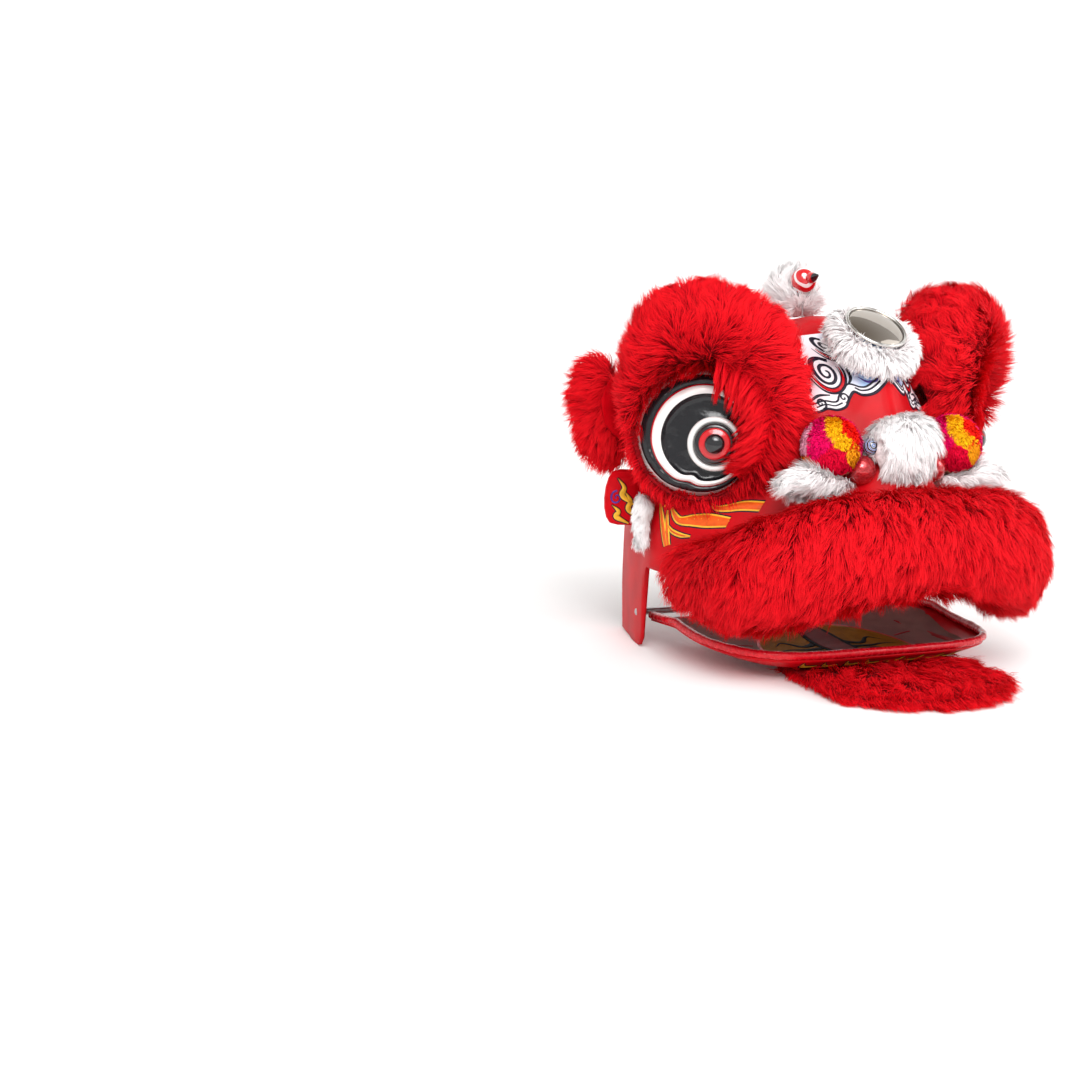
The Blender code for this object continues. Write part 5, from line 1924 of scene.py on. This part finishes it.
@dataclass(frozen=True)
class SwirlFinish(Finish):
    """A gloss bead with rings of three colours that wind round a point on it."""

    middle: tuple[float, float, float]
    colours: tuple[tuple[float, float, float], ...]
    scale: float = 75.0

    def mix(self, graph: Graph, shader: bpy.types.Node) -> None:
        """Feeds the shader.

        Args:
            graph: the material's nodes.
            shader: its Principled shader.
        """
        away = tuple(-m for m in self.middle)
        centred = graph.add("Mapping", {"Vector": graph.place()}, {"Location": away})
        values = {"Scale": self.scale, "Distortion": 3.0, "Detail": 1.0}
        kinds = {"wave_type": "RINGS", "rings_direction": "SPHERICAL"}
        rings = graph.add("TexWave", {"Vector": centred.outputs[0]}, values, **kinds)
        stops = [(position, *colour) for position, colour in zip((0.0, 0.42, 0.74), self.colours)]
        graph.feed(shader, {"Base Color": graph.ramp(rings.outputs["Fac"], stops, True)})
        fill(shader, {"Base Color": rgba(self.colours[1]), "Roughness": 0.14, "Coat Weight": 1.0})


def ball(
    name: str, middle: Sequence[float], radius: float, segments: int = 48, rings: int = 24
) -> bpy.types.Object:
    """A round bead with its place in its mesh.

    Args:
        name: its name.
        middle: its middle in the frame.
        radius: its radius.
        segments: how many flats its round has.
        rings: how many rings of faces it has.

    Returns:
        The bead.
    """
    clear_selection()
    bpy.ops.mesh.primitive_uv_sphere_add(
        segments=segments, ring_count=rings, radius=radius, location=tuple(middle)
    )
    bead = bpy.context.active_object
    bpy.ops.object.transform_apply(location=True)
    bead.name = bead.data.name = name
    in_order(bead)
    return bead


@dataclass
class Nose:
    """The two glossy nostrils and the painted knobs over them."""

    nostril: tuple[float, float, float] = (0.058, -0.140, 0.284)
    nostril_radius: float = 0.0205
    knob: tuple[float, float, float] = (0.050, -0.146, 0.3165)
    knob_radius: float = 0.0115

    def build(self) -> None:
        """Makes both sides."""
        for side, ending in SIDES:
            x, y, z = self.nostril
            part = ball(f"nostril_dome_{ending}", (side * x, y + HEAD_Y, z), self.nostril_radius)
            dress(part, GlitterFinish("red glitter"), Body.HEAD, "eye_red", f"nostril_{ending}")
            x, y, z = self.knob
            middle = (side * x, y + HEAD_Y, z)
            part = ball(f"nostril_bead_{ending}", middle, self.knob_radius)
            centre = tuple(m + 0.011 * e for m, e in zip(middle, (side * 0.3, -0.9, 0.2)))
            colours = ((0.012, 0.012, 0.03), (0.86, 0.86, 0.90), (0.10, 0.20, 0.50))
            finish = SwirlFinish(f"bead swirl {ending}", centre, colours)
            dress(part, finish, Body.HEAD, "eye_white", f"nostril_knob_{ending}")


@dataclass
class ForeheadMirror:
    """A domed mirror in a bright rim."""

    middle: tuple[float, float, float] = (0.0, -0.070, 0.466)
    tilt_deg: float = 31.0
    radius: float = 0.0395
    crown: float = 0.006
    fur_reach: float = 0.66
    fur_height: float = 0.62

    def frame(self) -> Matrix:
        """The mirror's own axes: Z looks out of it.

        Returns:
            The matrix from these axes to the frame's.
        """
        tilt = math.radians(self.tilt_deg)
        x, y, z = self.middle
        return place_at((x, y + HEAD_Y, z), (0, -math.sin(tilt), math.cos(tilt)), (1, 0, 0))

    def draw_in(self, skin: bpy.types.Object) -> None:
        """Draws the backing of the ring of fur in, so that its pile ends where the ring does.

        Args:
            skin: the backing.
        """
        place = self.frame()
        back = place.inverted()
        near = self.radius + 0.003
        for vertex in skin.data.vertices:
            p = back @ vertex.co
            far = math.hypot(p.x, p.y)
            share = (near + (far - near) * self.fur_reach) / max(far, 1e-6) if far > near else 1.0
            vertex.co = place @ Vector((p.x * share, p.y * share, p.z * self.fur_height))

    def build(self) -> None:
        """Makes the mirror and its rim."""
        place = self.frame()
        dome = [(0, -0.003), (self.radius, -0.003), (self.radius, -0.0006), (self.radius - 0.0006, 0.0)]
        for share in (0.95, 0.85, 0.7, 0.55, 0.4, 0.25, 0.1, 0.0):
            dome.append((self.radius * share, self.crown * (1 - share**2.4)))
        dress(spun("forehead_mirror", dome, place, 72), MIRROR, Body.HEAD, "mirror", "mirror")
        rim_at = self.radius + 0.0003 + 0.0024
        turns = np.linspace(0, 2 * math.pi, 13)
        rim = [(rim_at + 0.0024 * math.cos(a), 0.0024 * math.sin(a)) for a in turns]
        dress(spun("mirror_bezel", rim, place, 72), CHROME, Body.HEAD, "mirror", "mirror_rim")


@dataclass
class Horn:
    """The painted bead and its pointed tip on a wire."""

    middle: tuple[float, float, float] = (0.0, 0.105, 0.512)
    radius: float = 0.0185
    rise_deg: float = 18.0

    def build(self) -> None:
        """Makes the bead and the tip."""
        x, y, z = self.middle
        centre = (x, y + HEAD_Y, z)
        part = ball("horn_painted_bead", centre, self.radius)
        colours = ((0.62, 0.006, 0.012), (0.62, 0.006, 0.012), (0.86, 0.80, 0.80))
        swirl = (centre[0] - 0.006, centre[1] - 0.010, centre[2] + 0.006)
        finish = SwirlFinish("horn bead paint", swirl, colours, 34.0)
        dress(part, finish, Body.HEAD, "eye_red", "horn_bead")
        rise = math.radians(self.rise_deg)
        place = place_at(centre, (0, -math.cos(rise), math.sin(rise)), (1, 0, 0))
        near = self.radius * 0.9
        rows = (
            # radius, way out over the bead
            (0, 0),
            (0.0078, 0),
            (0.0080, 0.003),
            (0.0074, 0.0065),
            (0.0060, 0.010),
            (0.0036, 0.0145),
            (0.0012, 0.0190),
            (0, 0.020),
        )
        point = spun("horn_point", [(radius, near + out) for radius, out in rows], place, 32)
        dress(point, TipFinish("horn point paint", centre), Body.HEAD, "eye_black", "horn_tip")


@dataclass(frozen=True)
class TipFinish(Finish):
    """Red near the bead and black gloss at the point."""

    centre: tuple[float, float, float]

    def mix(self, graph: Graph, shader: bpy.types.Node) -> None:
        """Feeds the shader.

        Args:
            graph: the material's nodes.
            shader: its Principled shader.
        """
        parts = graph.add("SeparateXYZ", {0: graph.place()})
        start = self.centre[1] - 0.0255
        edges = {"From Min": start, "From Max": start + 0.001}
        step = graph.add("MapRange", {"Value": parts.outputs["Y"]}, edges)
        black, red = (0.012, 0.012, 0.016), (0.60, 0.004, 0.010)
        graph.feed(shader, {"Base Color": graph.ramp(step.outputs[0], ((0.0, *black), (1.0, *red)))})
        fill(shader, {"Base Color": rgba(black), "Roughness": 0.10, "Coat Weight": 1.0})


# Jaw


@dataclass
class Jaw:
    """The painted tray of the lower jaw with its bound edge."""

    wall: float = 0.003
    half_width: float = 0.224
    front_y: float = -0.160
    back_y: float = 0.088
    floor_z: float = 0.012
    rim_rise: float = 0.019
    rim_fade: float = 0.060
    squareness: float = 4.6
    rod_z: float = 0.046
    rod_radius: float = 0.005
    bend: float = 0.72
    binding_radius: float = 0.0056

    def floor(self, y: float) -> float:
        """Height of the floor at a depth.

        Args:
            y: the depth.

        Returns:
            The height.
        """
        front = self.front_y * 0.3
        rise = max(0.0, (y - front) / (self.back_y - front))
        return self.floor_z + self.wall + (self.rod_z - self.rod_radius - self.floor_z) * rise**1.6 * 0.8

    def height(self, y: float, share: float) -> float:
        """Height of the tray at a depth and a share of the way out.

        Args:
            y: the depth.
            share: the share.

        Returns:
            The height.
        """
        fade = min(1.0, (self.back_y - y) / self.rim_fade)
        return self.floor(y) + self.rim_rise * fade * max(0.0, (share - self.bend) / (1 - self.bend)) ** 1.5

    def ring(self, share: float, columns: int = 72, back: int = 14) -> list[tuple[float, float, float]]:
        """A ring of the tray.

        Args:
            share: its size as a share of the whole.
            columns: how many points go round the front.
            back: how many points close it behind.

        Returns:
            The ring's points in the frame.
        """
        middle = (self.front_y + self.back_y) / 2
        plan = []
        for j in range(columns + 1):
            angle = (-1 + 2 * j / columns) * math.pi / 2
            s, c = math.sin(angle), math.cos(angle)
            x = self.half_width * math.copysign(abs(s) ** (2 / self.squareness), s)
            plan.append((x, self.back_y + (self.front_y - self.back_y) * abs(c) ** (2 / self.squareness)))
        plan += [(self.half_width * (1 - 2 * j / back), self.back_y) for j in range(1, back)]
        ring = []
        for x, y in plan:
            px, py = x * share, middle + (y - middle) * share
            ring.append((px, py + HEAD_Y, self.height(py, share)))
        return ring

    def tray(self) -> bpy.types.Object:
        """Makes the tray with its wall.

        Returns:
            The tray.
        """
        shares = (0.02, 0.2, 0.4, 0.58, 0.72, 0.79, 0.86, 0.92, 0.96, 1.0)
        rings = [self.ring(share) for share in shares]
        points = np.array([p for ring in rings for p in ring])
        columns = len(rings[0])
        faces = grid_faces(len(rings), columns, True) + [tuple(range(columns))]
        tray = new_piece("jaw_painted_tray", points, faces)
        tidy_mesh(tray)
        if tray.data.polygons[0].normal.z < 0:
            tray.data.flip_normals()
        wall = tray.modifiers.new("wall", "SOLIDIFY")
        wall.thickness = self.wall
        wall.offset = -1.0
        apply_all(tray)
        return dress(tray, SCARLET, Body.JAW, "jaw_paint", "jaw_tray")

    def binding(self) -> None:
        """Makes the rolled vinyl edge as a tube along the rim."""
        rim = self.ring(1.0)[:73]
        path = np.array(rim) + np.array((0, 0, 0.0050))
        columns = 14
        points = []
        for i, middle in enumerate(path):
            ahead = path[min(i + 1, len(path) - 1)] - path[max(i - 1, 0)]
            place = place_at(middle, ahead, (0, 0, 1))
            swell = self.binding_radius * (1 + 0.06 * math.sin(i * 1.7) + 0.04 * math.sin(i * 0.61))
            for j in range(columns):
                a = 2 * math.pi * j / columns
                points.append(place @ Vector((swell * math.cos(a), swell * math.sin(a), 0)))
        faces = grid_faces(len(path), columns, True)
        faces += [tuple(range(columns)), tuple((len(path) - 1) * columns + j for j in range(columns))]
        tube = new_piece("jaw_vinyl_edge", np.array(points), faces)
        tidy_mesh(tube)
        dress(tube, VINYL, Body.JAW, "vinyl", "jaw_binding")

    def paint(self, tray: bpy.types.Object) -> None:
        """Paints the leaf, the tongue and the teeth inside.

        Args:
            tray: the tray that is painted.
        """
        brush = Brush(tree_of(tray), Panel.ABOVE, Body.JAW, "jaw_paint")
        floor = [(x * 0.90, (y - 0.03) * 0.90 + 0.03) for x, y, _ in self.ring(1.0)[::6]]
        # The tooth ground and the leaf are darker, as painted shade inside the mouth.
        brush.patch("jaw_tooth_ground", floor, SHADED_TOOTH, 0.0003)
        self.oval(brush, "jaw_leaf_edge", (0.020, 0.123, 0.093), SCARLET, 0.0005)
        self.oval(brush, "jaw_leaf", (0.020, 0.118, 0.088), SHADED_MUSTARD, 0.0008)
        veins = []
        rows = (
            # y, reach, rise
            (-0.030, 0.090, 0.012),
            (-0.005, 0.100, 0.010),
            (0.020, 0.102, -0.004),
            (0.045, 0.094, -0.014),
        )
        for side, _ in SIDES:
            for y, reach, rise in rows:
                length = reach - 0.020
                vein = (
                    (0.020, y + rise * 0.2, 0.016),
                    (0.020 + length * 0.40, y + rise, 0.010),
                    (0.020 + length * 0.72, y - rise * 0.4, 0.005),
                    (reach, y + rise * 0.6, 0.0),
                )
                veins.append([(side * x, *rest) for x, *rest in vein])
        brush.layer("jaw_leaf_veins", veins, LINE, 0.0010)
        self.oval(brush, "jaw_tongue_edge", (0.040, 0.029, 0.082), LINE, 0.0013)
        self.oval(brush, "jaw_tongue", (0.040, 0.022, 0.075), OXBLOOD, 0.0016)
        gaps = []
        rows = (
            # x, y, and how far it runs in each
            (0.105, -0.035, 0.030, -0.030),
            (0.126, 0.005, 0.055, -0.006),
            (0.122, 0.050, 0.060, 0.014),
            (0.060, -0.062, 0.008, -0.018),
        )
        stripe = (
            (0.168, -0.055, 0.002),
            (0.180, -0.010, 0.009),
            (0.176, 0.050, 0.011),
            (0.160, 0.100, 0.004),
        )
        for side, _ in SIDES:
            for x, y, dx, dy in rows:
                half = (x + dx * 0.5, y + dy * 0.5 + 0.002, 0.0034)
                gap = ((x, y, 0.0030), half, (x + dx, y + dy, 0.0030))
                gaps.append([(side * across, *rest) for across, *rest in gap])
            gaps.append([(side * across, *rest) for across, *rest in stripe])
        brush.layer("jaw_tooth_gaps", gaps, GUM, 0.0008)
        self.front_flames(tray)

    @staticmethod
    def oval(brush: Brush, name: str, form: Sequence[float], finish: Finish, lift: float) -> None:
        """Paints an oval on the floor of the tray.

        Args:
            brush: the brush.
            name: the oval's name.
            form: the depth of its middle, its half width and its half length.
            finish: the paint.
            lift: how thick the paint is.
        """
        y, width, length = form
        turns = [2 * math.pi * i / 12 for i in range(12)]
        brush.patch(name, [(width * math.cos(a), y + length * math.sin(a)) for a in turns], finish, lift)

    def front_flames(self, tray: bpy.types.Object) -> None:
        """Paints small gold flames on the front under the bound edge.

        Args:
            tray: the tray that is painted.
        """
        brush = Brush(tree_of(tray), Panel.FRONT, Body.JAW, "jaw_paint")
        flame = (
            # across, up, width
            (-0.014, 0.0215, 0.0),
            (0.0, 0.0190, 0.0040),
            (0.008, 0.0215, 0.0050),
            (0.012, 0.0285, 0.0),
        )
        flames = []
        for x in (-0.120, -0.088, -0.052, -0.018, 0.018, 0.052, 0.088, 0.120):
            way = 1 if x > 0 else -1
            flames.append([(x + way * dx, *rest) for dx, *rest in flame])
        brush.layer("jaw_flame_edges", [wider(f, 0.0026) for f in flames], INK, 0.0004)
        brush.layer("jaw_flames", flames, GOLD, 0.0008)


# Stage


@dataclass(frozen=True)
class FloorFinish(Finish):
    """Pale, slightly uneven paper."""

    def mix(self, graph: Graph, shader: bpy.types.Node) -> None:
        """Feeds the shader.

        Args:
            graph: the material's nodes.
            shader: its Principled shader.
        """
        noise = graph.add("TexNoise", {}, {"Scale": 3.0})
        stops = ((0.0, 0.90, 0.90, 0.90), (1.0, 0.92, 0.92, 0.92))
        graph.feed(shader, {"Base Color": graph.ramp(noise.outputs["Fac"], stops)})
        fill(shader, {"Roughness": 0.65, "Specular IOR Level": 0.1})


@dataclass
class Studio:
    """The camera, the floor and the lights."""

    lens: float = 70.03
    height: float = 0.70
    pitch_deg: float = 10.6
    yaw_deg: float = 29.0
    roll_deg: float = 3.5
    right: float = 0.405
    depth: float = 2.9
    focal_px: float = 2101.0
    pivot_px: tuple[float, float] = (270.0, 40.0)

    def camera(self) -> None:
        """Sets up the camera at the photograph's angle."""
        data = bpy.data.cameras.new("studio_camera")
        data.sensor_width = 36.0
        data.lens = self.lens
        camera = linked("studio_camera", data)
        yaw, pitch = math.radians(self.yaw_deg), math.radians(self.pitch_deg)
        s, c = math.sin(yaw), math.cos(yaw)
        x, y = -self.right * c - self.depth * s, self.right * s - self.depth * c
        where = Vector((x, y + HEAD_Y, self.height))
        level = Matrix.Rotation(-yaw, 3, "Z") @ Matrix.Rotation(math.pi / 2 - pitch, 3, "X")
        pivot = Vector((self.pivot_px[0] / self.focal_px, self.pivot_px[1] / self.focal_px, -1)).normalized()
        roll = Matrix.Rotation(math.radians(-self.roll_deg), 3, level @ pivot)
        camera.matrix_world = Matrix.Translation(where) @ (roll @ level).to_4x4()
        bpy.context.scene.camera = camera

    def floor(self) -> None:
        """Lays the pale floor, which rises into a backdrop behind the head."""
        reach, bend, half, top = 6.0, 2.5, 30.0, 12.0
        line = [(-30.0, 0.0), (-4.0, 0.0), (0.0, 0.0), (2.0, 0.0), (reach, 0.0)]
        for step in range(1, 13):
            turn = math.pi / 2 * step / 12
            line.append((reach + bend * math.sin(turn), bend * (1 - math.cos(turn))))
        line.append((reach + bend, top))
        points = [(x, y, z - 0.0005) for y, z in line for x in (-half, 0.0, half)]
        sheet = new_piece("studio_floor", np.array(points), grid_faces(len(line), 3, False))
        sheet.data.transform(Matrix.Rotation(-math.radians(self.yaw_deg), 4, "Z"))
        activate(sheet)
        bpy.ops.object.shade_smooth()
        sheet.data.materials.append(FloorFinish("studio floor").material())

    def sun(self, name: str, way: Sequence[float], power: float) -> None:
        """Adds one wide, even light.

        Args:
            name: its name.
            way: the direction that it shines in.
            power: its strength.
        """
        data = bpy.data.lights.new(name, "SUN")
        data.angle = math.radians(50)
        data.energy = power
        light = linked(name, data)
        light.matrix_world = Vector(way).to_track_quat("-Z", "Y").to_matrix().to_4x4()

    def area(self, name: str, where: Sequence[float], size: float, power: float) -> None:
        """Adds one soft light that looks at the head.

        Args:
            name: its name.
            where: its place.
            size: its side in metres.
            power: its power in watts.
        """
        data = bpy.data.lights.new(name, "AREA")
        data.shape = "SQUARE"
        data.size = size
        data.energy = power
        light = linked(name, data)
        aim = Vector((0, 0, 0.25)) - Vector(where)
        turn = aim.to_track_quat("-Z", "Y").to_matrix().to_4x4()
        light.matrix_world = Matrix.Translation(Vector(where)) @ turn

    def build(self) -> None:
        """Sets the stage."""
        self.camera()
        self.floor()
        self.area("key_light", (-1.4, -2.2, 2.4), 1.2, 42)
        self.area("fill_light", (2.2, -1.8, 1.8), 1.0, 18)
        self.sun("even_light", (0.35, 0.75, -1.0), 1.7)
        self.sun("side_light", (-0.8, 0.5, -0.6), 0.6)
        world = bpy.data.worlds.new("studio_air")
        bpy.context.scene.world = world
        world.use_nodes = True
        graph, sky = Graph(world.node_tree), world.node_tree.nodes["Background"]
        parts = graph.add("SeparateXYZ", {0: graph.add("TexCoord").outputs["Generated"]})
        stops = ((0.55, 0.80, 0.80, 0.80), (0.98, 0.30, 0.27, 0.24))
        graph.feed(sky, {"Color": graph.ramp(parts.outputs["Z"], stops)})
        fill(sky, {"Strength": 1.0})
        bpy.context.scene.view_settings.view_transform = "Standard"


def paint_fins() -> None:
    """Paints flames on the fins behind the cheeks."""
    for side, ending in SIDES:
        brush = Brush(tree_of(frame["nodes"][f"cheek_fin_{ending}"]), Panel.FRONT)
        flames = []
        for low, high, out in ((0.176, 0.216, 0.252), (0.196, 0.234, 0.262), (0.170, 0.196, 0.268)):
            flames.append(
                [
                    (side * (out - 0.012), low, 0.0020),
                    (side * (out + 0.006), low + (high - low) * 0.35, 0.0080),
                    (side * (out + 0.004), low + (high - low) * 0.65, 0.0060),
                    (side * (out + 0.014), high, 0.0),
                ]
            )
        brush.layer(f"fin_flame_edges_{ending}", [wider(f, 0.0030) for f in flames], INK, 0.0004)
        brush.layer(f"fin_flames_{ending}", flames, GOLD, 0.0008)
        eye = (side * 0.276, 0.206)
        brush.layer(f"fin_swirl_{ending}", [curl(eye, 0.010, 1.4, 90, 0.0030, 0.9)], VIOLET, 0.0010)


def dress_nodes() -> None:
    """Gives the CAD nodes that stay visible their finishes."""
    finishes = {"lip_board": BOARD, "jaw_rod": STEEL, "horn_stem": STEEL}
    for _, ending in SIDES:
        finishes[f"ear_pin_{ending}"] = STEEL
        finishes[f"pompom_spring_{ending}"] = STEEL
        finishes[f"ear_leaf_{ending}"] = SCARLET
        finishes[f"cheek_fin_{ending}"] = SCARLET
    for name, finish in finishes.items():
        node = frame["nodes"][name]
        for slot in node.material_slots:
            slot.material = finish.material()


def main() -> None:
    """Builds every piece in order."""
    logging.basicConfig(level=logging.INFO, format="%(name)s: %(message)s")
    Studio().build()
    shell = Shell().build()
    ForeheadPaint(shell).build()
    CheekPaint(shell).build()
    for side, ending in SIDES:
        Eye(side, ending).build()
        Pompom(side, ending).build()
    Nose().build()
    ForeheadMirror().build()
    Horn().build()
    jaw = Jaw()
    tray = jaw.tray()
    jaw.binding()
    jaw.paint(tray)
    dress_nodes()
    paint_fins()
    nodes = frame["nodes"]
    coat = FurCoat(tree_of(nodes["head_shell"], nodes["lip_board"], nodes["jaw_tray"]))
    coat.brows()
    coat.lip()
    coat.beard()
    coat.ears()
    coat.whites()
    clear_selection()


if __name__ == "__main__":
    main()
